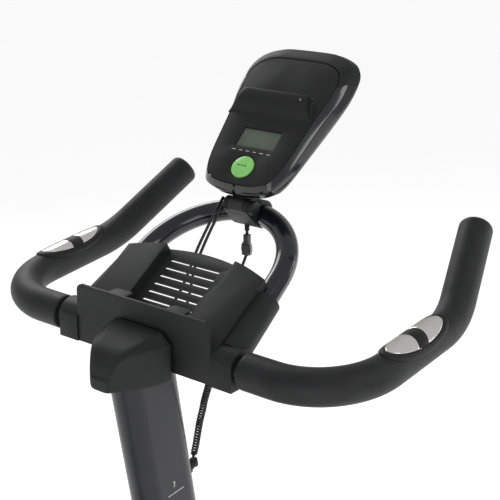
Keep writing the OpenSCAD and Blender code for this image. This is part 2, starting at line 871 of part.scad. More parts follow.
module grip_left() {
  color(foam_black) at_bar() grip();
}

module grip_right() {
  color(foam_black) at_bar() mirror([0, 1, 0]) grip();
}

module ellipse(a, b) {
  polygon([for (k = [0 : 10 : 350]) [a * cos(k), b * sin(k)]]);
}

module sensor_area(a, b) {
  translate([121, 0, 4]) linear_extrude(40) ellipse(a, b);
}

module skin(r_in, r_out) {
  rotate([0, 90, 0]) translate([0, 0, 40]) difference() {
    cylinder(r = r_out, h = 150);
    translate([0, 0, -1]) cylinder(r = r_in, h = 152);
  }
}

module pulse_bezels() {
  r = grip_d / 2;
  color(matte_black) for (s = [-1, 1]) palm(s) difference() {
    intersection() {
      skin(r + 0.05, r + 1.6);
      sensor_area(54, 21);
    }
    sensor_area(46.7, 13);
  }
}

module pulse_plates() {
  r = grip_d / 2;
  color(bright_steel) for (s = [-1, 1]) palm(s) difference() {
    intersection() {
      skin(r + 0.05, r + 2);
      sensor_area(46.5, 12.8);
    }
    translate([112, -30, 0]) cube([17, 60, 60]);
  }
}

// ---------------------------------------------------------------- tray and cover

module lip() {
  half = lip_half;
  r = 8;
  at_bar() translate([lip_x + lip_t, 0, 0]) rotate([90, 0, -90]) linear_extrude(lip_t) {
    translate([-half, lip_bottom]) square([2 * half, lip_top - r - lip_bottom]);
    translate([r - half, lip_bottom]) square([2 * (half - r), lip_top - lip_bottom]);
    for (s = [-1, 1]) translate([s * (half - r), lip_top - r]) circle(r);
  }
}

module panel_outline() {
  intersection() {
    translate([0, -panel_half]) square([panel_len + 4, 2 * panel_half]);
    translate([panel_len - panel_arc, 0]) circle(panel_arc, $fn = 240);
  }
}

module tray_panel() {
  floor_z = -recess_depth - panel_t;
  panel_plane() difference() {
    union() {
      translate([0, 0, -panel_t]) linear_extrude(panel_t) panel_outline();
      translate([0, 0, floor_z]) linear_extrude(-floor_z) intersection() {
        panel_outline();
        translate([recess_from - 3, -recess_half - 3]) square([panel_len, 2 * recess_half + 6]);
      }
    }
    translate([recess_from, -recess_half, -recess_depth])
      cube([panel_len, 2 * recess_half, 40]);
    for (k = [0 : slot_count - 1]) translate([slots_from + slot_pitch * k, 3.5, floor_z - 1])
      linear_extrude(20) rotate([0, 0, 90]) stadium(slot_l, slot_w);
  }
}

module skirt(s) {
  mirror([0, s, 0]) loop_plane() translate([0, loop_leg_y, 0]) rotate([0, 0, -loop_splay])
    translate([12, 0, 0]) rotate([90, 0, 90]) linear_extrude(72) intersection() {
      difference() {
        circle(17);
        circle(loop_d / 2 + 1);
      }
      translate([-9, -9]) square([30, 30]);
    }
}

module wing_wall(s) {
  mirror([0, s, 0]) panel_plane() translate([2, panel_half - 3, -10]) cube([91, 3, 10]);
}

// Cross-section of the sleeve around the bar, cut off flat at the front
module sleeve_section(front_x) {
  difference() {
    union() {
      translate([2, 0]) circle(20);
      translate([front_x, lip_bottom]) square([20, 20]);
    }
    circle(bar_d / 2 + 0.3);
    translate([-40, lip_bottom - 40]) square([80, 40]);
    translate([front_x - 40, -60]) square([40, 120]);
  }
}

module bar_sleeve(s) {
  mirror([0, s, 0]) at_bar() rotate([90, 0, 0]) {
    translate([0, 0, -sleeve_end]) linear_extrude(sleeve_end - lip_half) sleeve_section(lip_x - 2);
    translate([0, 0, -lip_half - 1]) linear_extrude(31) sleeve_section(lip_x);
  }
}

module tray() {
  color(matte_black) difference() {
    union() {
      lip();
      tray_panel();
      for (s = [0, 1]) {
        bar_sleeve(s);
        skirt(s);
        wing_wall(s);
      }
      for (y = [-44, 36]) at_bar() translate([lip_x + 9, y, 43.4]) linear_extrude(2.6)
        rounded(16, 24, 5);
    }
    at_bar() rotate([90, 0, 0]) cylinder(r = bar_d / 2 + 0.3, h = 260, center = true);
    for (s = [0, 1]) mirror([0, s, 0]) loop_plane() translate([0, loop_leg_y, 0])
      rotate([0, 0, -loop_splay]) rotate([0, 90, 0]) cylinder(r = loop_d / 2 + 0.4, h = 120);
  }
}

// Half width and heights of the nose's cross-section at distance x behind the lip
module nose_slice(x, half, low, side, top, flat) {
  at_bar() translate([x, 0, 0]) rotate([90, 0, -90]) linear_extrude(0.5) polygon([
    [-half + 2, low], [half - 2, low], [half, low + 4], [half, side], [flat, top],
    [-flat, top], [-half, side], [-half, low + 4]
  ]);
}

module nose(t) {
  hull() {
    nose_slice(lip_x - 0.1, 45 - t, -30, 12 - t, 24 - t, 31 - t);
    nose_slice(-24, 43.5 - t, -30, 11 - t, 21 - t, 28 - t);
    nose_slice(-40, 38 - t, -30, 6 - t, 14 - t, 22 - t);
    nose_slice(-58 + t / 2, 26 - t, -30, -3 - t, 0.5 - t, 14 - t);
    nose_slice(-74 + t, 13 - t, -30, -14 - t / 2, -11 - t, 6 - t / 2);
  }
}

module post_cover() {
  color(matte_black) difference() {
    nose(0);
    translate([0, 0, -0.6]) nose(2.5);
    at_bar() translate([lip_x - 6, -42.5, -31]) cube([10, 85, 38]);
    mast() oval_bar(post_l + 1, post_w + 1, -60, 0);
  }
}

module cord_boot() {
  color(foam_black) mast() translate([post_l / 2, 0, boot_z]) {
    rotate([0, 90, 0]) cylinder(r = 8, h = 3);
    translate([3, 0, 0]) rotate([0, 90, 0]) cylinder(r1 = 6.5, r2 = 4.8, h = 13);
    translate([14.2, 0, -4.5]) cylinder(r = 4.5, h = 8.2);
  }
}

module curly_cord() {
  color([0.03, 0.03, 0.03]) at_bar() swept(curly_route, curly_d, 10, [1, 0, 0]);
}

// ---------------------------------------------------------------- console

module plate(half, z, t) {
  translate([0, 0, z]) linear_extrude(t) polygon(both_sides(half));
}

module front_bulk(t) {
  hull() {
    plate([for (p = face_outline) p - t * unit(p - [20, 0])], -0.2, 0.2);
    plate([for (p = rim_outline) p - t * unit(p - [20, 0])], rim_z, 1);
    plate([for (p = skirt_outline) p - t * unit(p - [20, 0])], split_z, 1);
  }
}

module trim_zone() {
  for (s = [0, 1]) mirror([0, s, 0]) translate([-90, 0.3, -20]) cube([185, 100, 40]);
}

module front_ring() {
  difference() {
    front_bulk(0);
    translate([0, 0, -1]) front_bulk(shell);
    plate(face_outline, split_z, 40);
  }
}

module console_front() {
  color(matte_black) console() intersection() {
    front_ring();
    translate([95.3, -100, -20]) cube([60, 200, 40]);
  }
}

module console_trims() {
  color([0.02, 0.02, 0.022]) console() intersection() {
    front_ring();
    trim_zone();
  }
}

module console_face() {
  color(matte_black) console() difference() {
    union() {
      plate([for (p = face_outline) p - 0.2 * unit(p - [20, 0])], -3, 3);
      translate([0, 54, 0]) rotate([90, 0, 0]) linear_extrude(100) polygon([
        [29, -1], [29, 0], [37, 1.3], [45, 4.8], [52, 10], [56.2, 12.9], [57.8, 12], [58.4, 5.6],
        [60.2, 1.6], [62.5, 0], [62.5, -1]
      ]);
    }
    translate([-lcd_h / 2, -lcd_w / 2, -5]) cube([lcd_h, lcd_w, 10]);
    translate([button_at, 0, -5]) cylinder(d = button_d + 0.8, h = 10);
  }
}

module lcd_screen() {
  color([0.42, 0.46, 0.42]) console()
    translate([-lcd_h / 2 + 0.1, -lcd_w / 2 + 0.1, -3]) cube([lcd_h - 0.2, lcd_w - 0.2, 1.4]);
}

module mode_button() {
  color([0.3, 0.75, 0.25]) console() translate([button_at, 0, 0]) {
    translate([0, 0, -5]) cylinder(d = button_d, h = 6);
    intersection() {
      translate([0, 0, 1]) cylinder(d = button_d, h = 4);
      translate([0, 0, 2.6 - 45]) sphere(45, $fn = 96);
    }
  }
}

module console_board() {
  color([0.05, 0.25, 0.1]) console() {
    translate([-50, -36, -12]) cube([90, 72, 1.6]);
    translate([-12, -26, -10.4]) cube([24, 52, 5]);
    translate([button_at - 4, -4, -10.4]) cube([8, 8, 3.2]);
  }
}

module back_bulk(t) {
  hull() {
    plate([for (p = skirt_outline) p - (t + 0.6) * unit(p - [20, 0])], split_z - 2.2, 2);
    plate([for (p = back_outline) p - t * unit(p - [20, 0])], back_z + t, 1);
  }
}

// Pivot of the console. Local Z points to the right
module tilt_axis() {
  console() translate([tilt_at.x, 0, tilt_at.y]) rotate([90, 0, 0]) children();
}

module console_back() {
  color([0.12, 0.125, 0.13]) difference() {
    union() {
      console() difference() {
        back_bulk(0);
        translate([0, 0, 3]) back_bulk(shell);
        back_bulk(shell);
        translate([tilt_at.x - 20, -23.5, back_z - 5]) cube([34, 47, 20]);
      }
      tilt_axis() cylinder(r = 9, h = 20, center = true);
      console() translate([tilt_at.x, -10, tilt_at.y - 4]) cube([26, 20, 11]);
    }
    tilt_axis() cylinder(r = 3.05, h = 60, center = true);
  }
}

module console_bracket() {
  apex = loop_centre + loop_r;
  color(matte_black) difference() {
    union() {
      difference() {
        union() {
          loop_plane() translate([apex, 0, 0]) rotate([90, 0, 0])
            cylinder(r = 16, h = 36, center = true);
          console() difference() {
            translate([tilt_at.x - 9, -16.3, tilt_at.y - 22]) cube([18, 32.6, 22]);
            translate([tilt_at.x - 4, -10.3, tilt_at.y - 12]) cube([30, 20.6, 30]);
          }
        }
        tilt_axis() cylinder(r = 9.4, h = 20.6, center = true);
      }
      tilt_axis() {
        for (s = [-1, 1]) translate([0, 0, s * 13.3]) cylinder(r = 9, h = 6, center = true);
        translate([0, 0, -17.5]) cylinder(r = 3, h = 38.5);
        translate([0, 0, 15.5]) cylinder(r = 8, h = 7);
      }
    }
    loop_plane() translate([loop_centre, 0, 0]) rotate([0, 0, -40])
      rotate_extrude(angle = 80, $fn = 120) translate([loop_r, 0]) circle(loop_d / 2);
  }
}

module console_leads() {
  color([0.02, 0.02, 0.02]) at_bar() for (route = [lead_left, lead_right, lead_upper, lead_lower])
    swept(route, lead_d, 8, [0, 1, 0]);
}

module lead_connector() {
  color([0.03, 0.03, 0.03]) at_bar() {
    translate([158, -4.5, 50]) cube([7, 9, 12]);
    translate([159, -3, 62]) cube([6, 6, 12]);
  }
}

front_stabilizer();
rear_stabilizer();
foot_caps();
rear_beam();
down_tube();
seat_tube();
head_tube();
fork_blades();
post_bushings();
frame_fasteners();
transport_wheel_left();
transport_wheel_right();
belt_cover();
belt_cover_back();
drive_belt();
bearings();
flywheel();
flywheel_axle();
flywheel_pulley();
crank_axle();
crank_pulley();
crank_arms();
pedal_spindles();
pedal_right();
pedal_left();
brake_collar();
brake_rod();
resistance_knob();
brake_carrier();
brake_pad();
seat_post();
seat_rail();
saddle_slider();
saddle_base();
saddle_pad();
seat_post_knob();
saddle_knob();
handlebar_post_knob();
handlebar_post();
handlebar_bracket();
handlebar_tube();
loop_tube();
grip_left();
grip_right();
pulse_bezels();
pulse_plates();
tray();
post_cover();
cord_boot();
curly_cord();
console_bracket();
console_back();
console_front();
console_trims();
console_face();
lcd_screen();
mode_button();
console_board();
console_leads();
lead_connector();
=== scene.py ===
"""Exercise bike: the visual model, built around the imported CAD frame. Lengths are in metres."""

import json
import math

import bmesh
import bpy
import numpy as np
from mathutils import Matrix, Vector

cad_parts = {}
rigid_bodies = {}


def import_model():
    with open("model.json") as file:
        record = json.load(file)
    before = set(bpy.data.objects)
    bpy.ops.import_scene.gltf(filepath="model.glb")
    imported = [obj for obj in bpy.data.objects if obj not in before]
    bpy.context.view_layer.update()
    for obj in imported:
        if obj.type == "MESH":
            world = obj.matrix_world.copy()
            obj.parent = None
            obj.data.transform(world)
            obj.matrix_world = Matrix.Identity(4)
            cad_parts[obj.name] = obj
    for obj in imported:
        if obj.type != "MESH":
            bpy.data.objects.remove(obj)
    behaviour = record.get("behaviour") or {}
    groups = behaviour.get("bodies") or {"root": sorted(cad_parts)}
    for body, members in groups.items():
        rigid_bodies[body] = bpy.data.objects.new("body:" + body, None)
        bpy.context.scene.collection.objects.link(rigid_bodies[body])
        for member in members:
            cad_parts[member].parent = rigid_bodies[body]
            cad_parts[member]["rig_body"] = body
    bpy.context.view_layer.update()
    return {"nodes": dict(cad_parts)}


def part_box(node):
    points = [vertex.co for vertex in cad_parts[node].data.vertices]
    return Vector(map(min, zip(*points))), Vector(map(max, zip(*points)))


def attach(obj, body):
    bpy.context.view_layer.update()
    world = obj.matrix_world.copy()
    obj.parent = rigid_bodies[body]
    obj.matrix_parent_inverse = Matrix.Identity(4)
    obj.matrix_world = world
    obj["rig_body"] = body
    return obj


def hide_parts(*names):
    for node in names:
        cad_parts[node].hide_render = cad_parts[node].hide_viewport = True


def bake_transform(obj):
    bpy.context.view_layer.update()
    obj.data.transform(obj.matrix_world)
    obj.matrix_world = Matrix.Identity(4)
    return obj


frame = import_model()
scene = bpy.context.scene

MM = 0.001
HUB = np.array([0.190, 0.0, 1.010])  # middle of the handlebar's centre line


def at(points):
    """Points given in mm from the handlebar's middle, in the frame's metres."""
    return HUB + np.asarray(points, float) * MM


def place(origin, tilt, spin=0.0):
    """A matrix in mm from the handlebar's middle: a turn about Z, then up by tilt, both in degrees."""
    turn = Matrix.Rotation(math.radians(spin), 4, "Z") @ Matrix.Rotation(-math.radians(tilt), 4, "Y")
    return np.array(Matrix.Translation(Vector(origin)) @ turn)


def moved(matrix, points):
    points = np.asarray(points, float)
    return points @ matrix[:3, :3].T + matrix[:3, 3]


def linked(name, data):
    """A new object in the scene."""
    obj = bpy.data.objects.new(name, data)
    scene.collection.objects.link(obj)
    return obj


LOOP = place((0, 0, 1), 29.9)
CONSOLE = place((182.5, 0, 180), 43.2)

# ---------------------------------------------------------------- camera

camera = linked("camera", bpy.data.cameras.new("camera"))
scene.camera = camera
camera.data.lens = 81.46
camera.data.sensor_width = 36
camera.data.clip_start = 0.05
camera.data.clip_end = 60
right = Vector((0.6153, -0.7883, 0)).normalized()
back = -Vector((0.7466, 0.5827, -0.3209)).normalized()
up = back.cross(right)
camera.matrix_world = Matrix.Translation((-0.6003, -0.7475, 1.4755)) @ Matrix(
    (right, up, back)).transposed().to_4x4()

# ---------------------------------------------------------------- materials


class Nodes:
    """Short calls to build one material's node tree."""

    def __init__(self, name):
        self.material = bpy.data.materials.new(name)
        self.material.use_nodes = True
        self.tree = self.material.node_tree
        self.shader = self.tree.nodes["Principled BSDF"]
        self.where = self.tree.nodes.new("ShaderNodeTexCoord").outputs["Object"]

    def add(self, kind, **inputs):
        node = self.tree.nodes.new("ShaderNode" + kind)
        for key, value in inputs.items():
            socket = node.inputs[int(key[1:])] if key[0] == "i" and key[1:].isdigit() else node.inputs[key]
            if isinstance(value, bpy.types.NodeSocket):
                self.tree.links.new(value, socket)
            else:
                socket.default_value = value
        return node

    def noise(self, scale, detail=3.0, where=None):
        return self.add("TexNoise", Vector=where or self.where, Scale=scale, Detail=detail).outputs["Fac"]

    def ramp(self, fac, low, high, at_low=0.3, at_high=0.7):
        ramp = self.add("ValToRGB", Fac=fac)
        for stop, place_at, colour in zip(ramp.color_ramp.elements, (at_low, at_high), (low, high)):
            stop.position = place_at
            stop.color = (*colour, 1)
        return ramp.outputs["Color"]

    def span(self, fac, low, high):
        node = self.add("MapRange", Value=fac)
        node.inputs["To Min"].default_value = low
        node.inputs["To Max"].default_value = high
        return node.outputs["Result"]

    def link(self, output, socket):
        self.tree.links.new(output, self.shader.inputs[socket])

    def bump(self, height, distance, strength=1.0):
        node = self.add("Bump", Height=height, Distance=distance, Strength=strength)
        self.link(node.outputs["Normal"], "Normal")


def finish(name, dark, light, rough, grain, depth, metal=0.0, coat=0.0, sheen=0.0, blotch=18.0,
           specular=0.3):
    """A moulded, painted or metal surface: blotchy colour, uneven gloss and a fine grain."""
    n = Nodes(name)
    n.link(n.ramp(n.noise(blotch, 4.0), dark, light), "Base Color")
    n.link(n.span(n.noise(blotch * 3, 5.0), rough - 0.06, rough + 0.06), "Roughness")
    n.shader.inputs["Metallic"].default_value = metal
    n.shader.inputs["Coat Weight"].default_value = coat
    n.shader.inputs["Coat Roughness"].default_value = 0.08
    n.shader.inputs["Sheen Weight"].default_value = sheen
    n.shader.inputs["Specular IOR Level"].default_value = specular
    n.bump(n.noise(grain, 2.0), depth * MM)
    return n.material


def flywheel_iron():
    n = Nodes("flywheel_iron")
    shifted = n.add("VectorMath", i0=n.where, i1=(0.298, 0, 0.265))
    shifted.operation = "SUBTRACT"
    flat = n.add("VectorMath", i0=shifted.outputs["Vector"], i1=(1, 0, 1))
    flat.operation = "MULTIPLY"
    radius = n.add("VectorMath", i0=flat.outputs["Vector"])
    radius.operation = "LENGTH"
    ring = n.add("CombineXYZ", X=radius.outputs["Value"])
    turned = n.noise(900.0, 4.0, ring.outputs["Vector"])
    n.link(n.ramp(turned, (0.05, 0.05, 0.055), (0.1, 0.1, 0.105)), "Base Color")
    n.link(n.span(turned, 0.28, 0.45), "Roughness")
    n.shader.inputs["Metallic"].default_value = 0.85
    n.bump(turned, 0.03 * MM)
    return n.material


def leather():
    n = Nodes("saddle_cover")
    cells = n.add("TexVoronoi", Vector=n.where, Scale=620.0)
    cells.feature = "DISTANCE_TO_EDGE"
    n.link(n.ramp(n.noise(30.0, 4.0), (0.016, 0.016, 0.017), (0.03, 0.03, 0.031)), "Base Color")
    n.link(n.span(cells.outputs["Distance"], 0.62, 0.45), "Roughness")
    n.bump(n.span(cells.outputs["Distance"], 0.0, 2.0), 0.35 * MM, 0.8)
    return n.material


def foam():
    n = Nodes("foam_grip")
    n.link(n.ramp(n.noise(55.0, 5.0), (0.0105, 0.011, 0.012), (0.0165, 0.0172, 0.0185)), "Base Color")
    n.link(n.span(n.noise(140.0, 3.0), 0.46, 0.6), "Roughness")
    n.shader.inputs["Sheen Weight"].default_value = 0.04
    n.shader.inputs["Sheen Roughness"].default_value = 0.4
    n.shader.inputs["Specular IOR Level"].default_value = 0.35
    pores = n.add("TexVoronoi", Vector=n.where, Scale=1500.0)
    n.bump(pores.outputs["Distance"], 0.12 * MM, 0.5)
    return n.material


def sensor_steel():
    n = Nodes("sensor_steel")
    stretched = n.add("VectorMath", i0=n.where, i1=(40, 900, 900))
    stretched.operation = "MULTIPLY"
    lines = n.noise(1.0, 3.0, stretched.outputs["Vector"])
    n.link(n.ramp(lines, (0.79, 0.765, 0.725), (0.9, 0.88, 0.84)), "Base Color")
    n.link(n.span(lines, 0.14, 0.26), "Roughness")
    n.shader.inputs["Metallic"].default_value = 0.8
    n.shader.inputs["Specular Tint"].default_value = (0.5, 0.48, 0.46, 1.0)
    n.bump(lines, 0.01 * MM, 0.5)
    return n.material


def display_glass():
    n = Nodes("display")
    n.link(n.ramp(n.noise(40.0, 2.0), (0.112, 0.136, 0.108), (0.138, 0.166, 0.132)), "Base Color")
    n.link(n.span(n.noise(200.0), 0.2, 0.3), "Roughness")
    n.shader.inputs["Specular IOR Level"].default_value = 0.25
    n.bump(n.noise(1200.0), 0.002 * MM)
    return n.material


def button_green():
    n = Nodes("button_green")
    n.link(n.ramp(n.noise(90.0, 2.0), (0.26, 0.72, 0.17), (0.31, 0.8, 0.21)), "Base Color")
    n.link(n.span(n.noise(300.0), 0.26, 0.36), "Roughness")
    n.shader.inputs["Coat Weight"].default_value = 0.35
    n.shader.inputs["Subsurface Weight"].default_value = 0.1
    n.shader.inputs["Subsurface Radius"].default_value = (0.002, 0.004, 0.001)
    n.bump(n.noise(1500.0), 0.006 * MM)
    return n.material


BLACK = ((0.0105, 0.011, 0.0115), (0.0155, 0.0162, 0.0168))
FINISHES = {
    "frame_paint": finish("frame_paint", (0.010, 0.0105, 0.012), (0.0155, 0.016, 0.0185), 0.42, 750, 0.05,
                          coat=0.15),
    "post_paint": finish("post_paint", (0.0145, 0.015, 0.0185), (0.021, 0.0215, 0.026), 0.3, 500, 0.02,
                         metal=0.2, coat=0.1, specular=0.4),
    "loop_paint": finish("loop_paint", (0.004, 0.0048, 0.009), (0.007, 0.0082, 0.014), 0.16, 90, 0.02,
                         coat=0.6, specular=0.4),
    "grip_foam": foam(),
    "black_plastic": finish("black_plastic", *BLACK, 0.5, 1400, 0.05),
    "gloss_trim": finish("gloss_trim", (0.004, 0.0045, 0.006), (0.007, 0.008, 0.011), 0.2, 60, 0.02,
                         coat=1.0),
    "grey_plastic": finish("grey_plastic", (0.03, 0.031, 0.03), (0.042, 0.043, 0.041), 0.45, 1200, 0.05),
    "steel_parts": finish("steel_parts", (0.42, 0.42, 0.43), (0.55, 0.55, 0.56), 0.3, 900, 0.02,
                          metal=1.0),
    "sensor_plate": sensor_steel(),
    "flywheel_iron": flywheel_iron(),
    "alloy_rail": finish("alloy_rail", (0.1, 0.1, 0.105), (0.15, 0.15, 0.155), 0.38, 700, 0.03,
                         metal=0.8),
    "belt_rubber": finish("belt_rubber", (0.012, 0.012, 0.012), (0.02, 0.02, 0.02), 0.75, 1600, 0.08),
    "rubber_black": finish("rubber_black", (0.014, 0.014, 0.015), (0.024, 0.024, 0.025), 0.7, 1300, 0.1),
    "cord_jacket": finish("cord_jacket", (0.008, 0.008, 0.009), (0.014, 0.014, 0.015), 0.3, 1500, 0.02,
                          coat=0.3),
    "brake_felt": finish("brake_felt", (0.2, 0.16, 0.11), (0.3, 0.25, 0.18), 0.95, 1800, 0.5, sheen=0.5),
    "saddle_cover": leather(),
    "display": display_glass(),
    "button_green": button_green(),
    "circuit": finish("circuit", (0.01, 0.09, 0.03), (0.015, 0.14, 0.05), 0.4, 400, 0.05, coat=0.4),
}

# Finishes of details that share a slot with the piece they belong to
TRAY_PLASTIC = finish("tray_plastic", (0.0105, 0.0118, 0.0115), (0.0155, 0.017, 0.0166), 0.52, 1600,
                      0.07)
PRINT_WHITE = finish("print_white", (0.6, 0.6, 0.6), (0.75, 0.75, 0.75), 0.5, 900, 0.01)
SEAM_BLACK = finish("seam_black", (0.002, 0.002, 0.002), (0.004, 0.004, 0.004), 0.9, 900, 0.01)
SMOKY_NYLON = finish("smoky_nylon", (0.05, 0.051, 0.05), (0.085, 0.087, 0.085), 0.3, 500, 0.03, coat=0.2)
CLEAR_NYLON = finish("clear_nylon", (0.3, 0.305, 0.3), (0.42, 0.425, 0.42), 0.25, 500, 0.02, coat=0.2)

SLOTS = {
    "frame_paint": ["front_stabilizer", "rear_stabilizer", "rear_beam", "down_tube", "seat_tube",
                    "head_tube", "fork_blades", "seat_post", "saddle_slider", "brake_carrier",
                    "handlebar_bracket", "handlebar_tube"],
    "post_paint": ["handlebar_post"],
    "loop_paint": ["loop_tube"],
    "grip_foam": ["grip_left", "grip_right"],
    "black_plastic": ["foot_caps", "post_bushings", "transport_wheel_left", "transport_wheel_right",
                      "belt_cover", "belt_cover_back", "pedal_left", "pedal_right", "resistance_knob",
                      "saddle_base", "seat_post_knob", "saddle_knob", "handlebar_post_knob",
                      "pulse_bezels", "tray", "post_cover", "console_bracket", "console_front",
                      "console_face"],
    "gloss_trim": ["console_trims"],
    "grey_plastic": ["console_back"],
    "steel_parts": ["frame_fasteners", "bearings", "flywheel_axle", "flywheel_pulley", "crank_axle",
                    "pedal_spindles", "brake_collar", "brake_rod"],
    "sensor_plate": ["pulse_plates"],
    "flywheel_iron": ["flywheel", "crank_pulley"],
    "alloy_rail": ["seat_rail", "crank_arms"],
    "belt_rubber": ["drive_belt"],
    "rubber_black": ["cord_boot"],
    "cord_jacket": ["curly_cord", "console_leads", "lead_connector"],
    "brake_felt": ["brake_pad"],
    "saddle_cover": ["saddle_pad"],
    "display": ["lcd_screen"],
    "button_green": ["mode_button"],
    "circuit": ["console_board"],
}
SLOT_OF = {node: slot for slot, nodes in SLOTS.items() for node in nodes}
for node, obj in frame["nodes"].items():
    obj.data.materials.clear()
    obj.data.materials.append(FINISHES[SLOT_OF[node]])
frame["nodes"]["lead_connector"].data.materials[0] = SMOKY_NYLON

# ---------------------------------------------------------------- mesh helpers


def piece(name, points, faces, body, slot, material=None, replaces=(), smooth=50.0):
    """A mesh from points in the frame's metres, riding on a body."""
    mesh = bpy.data.meshes.new(name)
    mesh.from_pydata([tuple(p) for p in points], [], [tuple(f) for f in faces])
    bm = bmesh.new()
    bm.from_mesh(mesh)
    bmesh.ops.remove_doubles(bm, verts=bm.verts, dist=1e-6)
    bmesh.ops.recalc_face_normals(bm, faces=bm.faces)
    bm.to_mesh(mesh)
    bm.free()
    return dress(name, mesh, body, slot, material, replaces, smooth)


def dress(name, mesh, body, slot, material=None, replaces=(), smooth=50.0):
    """Puts a mesh in the scene with its finish and its body, and hides the CAD parts that it replaces."""
    mesh.polygons.foreach_set("use_smooth", [True] * len(mesh.polygons))
    mesh.set_sharp_from_angle(angle=math.radians(smooth))
    mesh.materials.clear()
    mesh.materials.append(material or FINISHES[slot])
    obj = linked(name, mesh)
    if body:
        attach(obj, body)
    if replaces:
        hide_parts(*replaces)
    return obj


def skin_quads(rows, columns, start=0, closed=True):
    """Quads between successive rings of points."""
    return [(start + i * columns + k, start + i * columns + (k + 1) % columns,
             start + (i + 1) * columns + (k + 1) % columns, start + (i + 1) * columns + k)
            for i in range(rows - 1) for k in range(columns if closed else columns - 1)]


def loft(rings, caps=True):
    """Points and faces of a closed skin through rings with the same number of points."""
    rings = np.asarray(rings, float)
    rows, columns = rings.shape[:2]
    faces = skin_quads(rows, columns)
    if caps:
        faces += [tuple(reversed(range(columns))), tuple(range((rows - 1) * columns, rows * columns))]
    return rings.reshape(-1, 3), faces


def sweep(path, radii, sides=24):
    """Rings round a path, turned as little as possible from one to the next."""
    path = np.asarray(path, float)
    along = np.gradient(path, axis=0)
    along /= np.linalg.norm(along, axis=1)[:, None]
    side = np.cross(along[0], (0.3, 0.2, 1.0))
    angles = np.arange(sides) * 2 * math.pi / sides
    rings = []
    for p, t, r in zip(path, along, np.broadcast_to(radii, len(path))):
        side = side - (side @ t) * t
        side /= np.linalg.norm(side)
        other = np.cross(t, side)
        rings.append(p + r * (np.outer(np.cos(angles), side) + np.outer(np.sin(angles), other)))
    return rings


def curve_through(points, per, closed=False):
    """Catmull-Rom through the points, with per samples to each stretch."""
    p = np.asarray(points, float)
    n = len(p)
    pick = (lambda i: p[i % n]) if closed else (lambda i: p[min(max(i, 0), n - 1)])
    out = []
    for i in range(n if closed else n - 1):
        a, b, c, d = (pick(i + k) for k in (-1, 0, 1, 2))
        for t in np.arange(per) / per:
            out.append(0.5 * (2 * b + (c - a) * t + (2 * a - 5 * b + 4 * c - d) * t * t
                              + (3 * b - a - 3 * c + d) * t ** 3))
    if not closed:
        out.append(p[-1])
    return np.array(out)


def resampled(path, step):
    """The path with points at equal steps along it."""
    path = np.asarray(path, float)
    run = np.concatenate([[0], np.cumsum(np.linalg.norm(np.diff(path, axis=0), axis=1))])
    marks = np.linspace(0, run[-1], max(2, int(round(run[-1] / step)) + 1))
    return np.stack([np.interp(marks, run, path[:, k]) for k in range(3)], axis=1)


def length_of(path):
    return float(np.linalg.norm(np.diff(np.asarray(path), axis=0), axis=1).sum())


def filleted(route, radii, steps=24):
    """A route of straight lines with round bends at its inner points."""
    route = [np.asarray(p, float) for p in route]
    out = [route[0]]
    for a, b, c, r in zip(route, route[1:], route[2:], radii):
        u, w = (b - a) / np.linalg.norm(b - a), (c - b) / np.linalg.norm(c - b)
        turn = math.acos(max(-1, min(1, u @ w)))
        inward = w - (w @ u) * u
        inward /= np.linalg.norm(inward)
        centre = b - u * r * math.tan(turn / 2) + inward * r
        for g in np.linspace(0, turn, steps):
            out.append(centre - inward * r * math.cos(g) + u * r * math.sin(g))
    return np.array(out + [route[-1]])


def vertices_of(mesh):
    return np.array([v.co for v in mesh.vertices])


def baked(obj):
    """Applies an object's modifiers."""
    evaluated = obj.evaluated_get(bpy.context.evaluated_depsgraph_get())
    mesh = bpy.data.meshes.new_from_object(evaluated)
    obj.modifiers.clear()
    obj.data = mesh


def subdivided(obj, levels=2):
    """Smooths a mesh with subdivision surfaces and applies it."""
    modifier = obj.modifiers.new("smooth", "SUBSURF")
    modifier.levels = modifier.render_levels = levels
    baked(obj)


def rounded_box(name, matrix, centre, size, bevel, body, slot, material=None):
    """A small block with rounded edges, placed by a matrix in mm."""
    bm = bmesh.new()
    bmesh.ops.create_cube(bm, size=1)
    bmesh.ops.scale(bm, vec=size, verts=bm.verts)
    bmesh.ops.translate(bm, vec=centre, verts=bm.verts)
    bmesh.ops.bevel(bm, geom=bm.edges[:], offset=bevel, segments=2, profile=0.6, affect="EDGES")
    points = at(moved(matrix, [v.co for v in bm.verts]))
    faces = [[v.index for v in f.verts] for f in bm.faces]
    bm.free()
    return piece(name, points, faces, body, slot, material, smooth=30)


def softened(node, width, name=None, material=None, sharp=33.0, slot=None):
    """A copy of a CAD node with its hard edges rounded, which stands for it."""
    source = frame["nodes"][node]
    bm = bmesh.new()
    bm.from_mesh(source.data)
    bmesh.ops.remove_doubles(bm, verts=bm.verts, dist=2e-6)
    bmesh.ops.dissolve_limit(bm, angle_limit=math.radians(0.6), verts=bm.verts, edges=bm.edges)
    edges = [e for e in bm.edges
             if len(e.link_faces) == 2 and e.calc_face_angle(0) > math.radians(sharp)]
    bmesh.ops.bevel(bm, geom=edges, offset=width * MM, offset_type="OFFSET", segments=2, profile=0.6,
                    affect="EDGES", clamp_overlap=True)
    mesh = bpy.data.meshes.new(name or node + "_soft")
    bm.to_mesh(mesh)
    bm.free()
    return dress(name or node + "_soft", mesh, source["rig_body"], slot or SLOT_OF[node], material, [node],
                 smooth=38)


# ---------------------------------------------------------------- cords

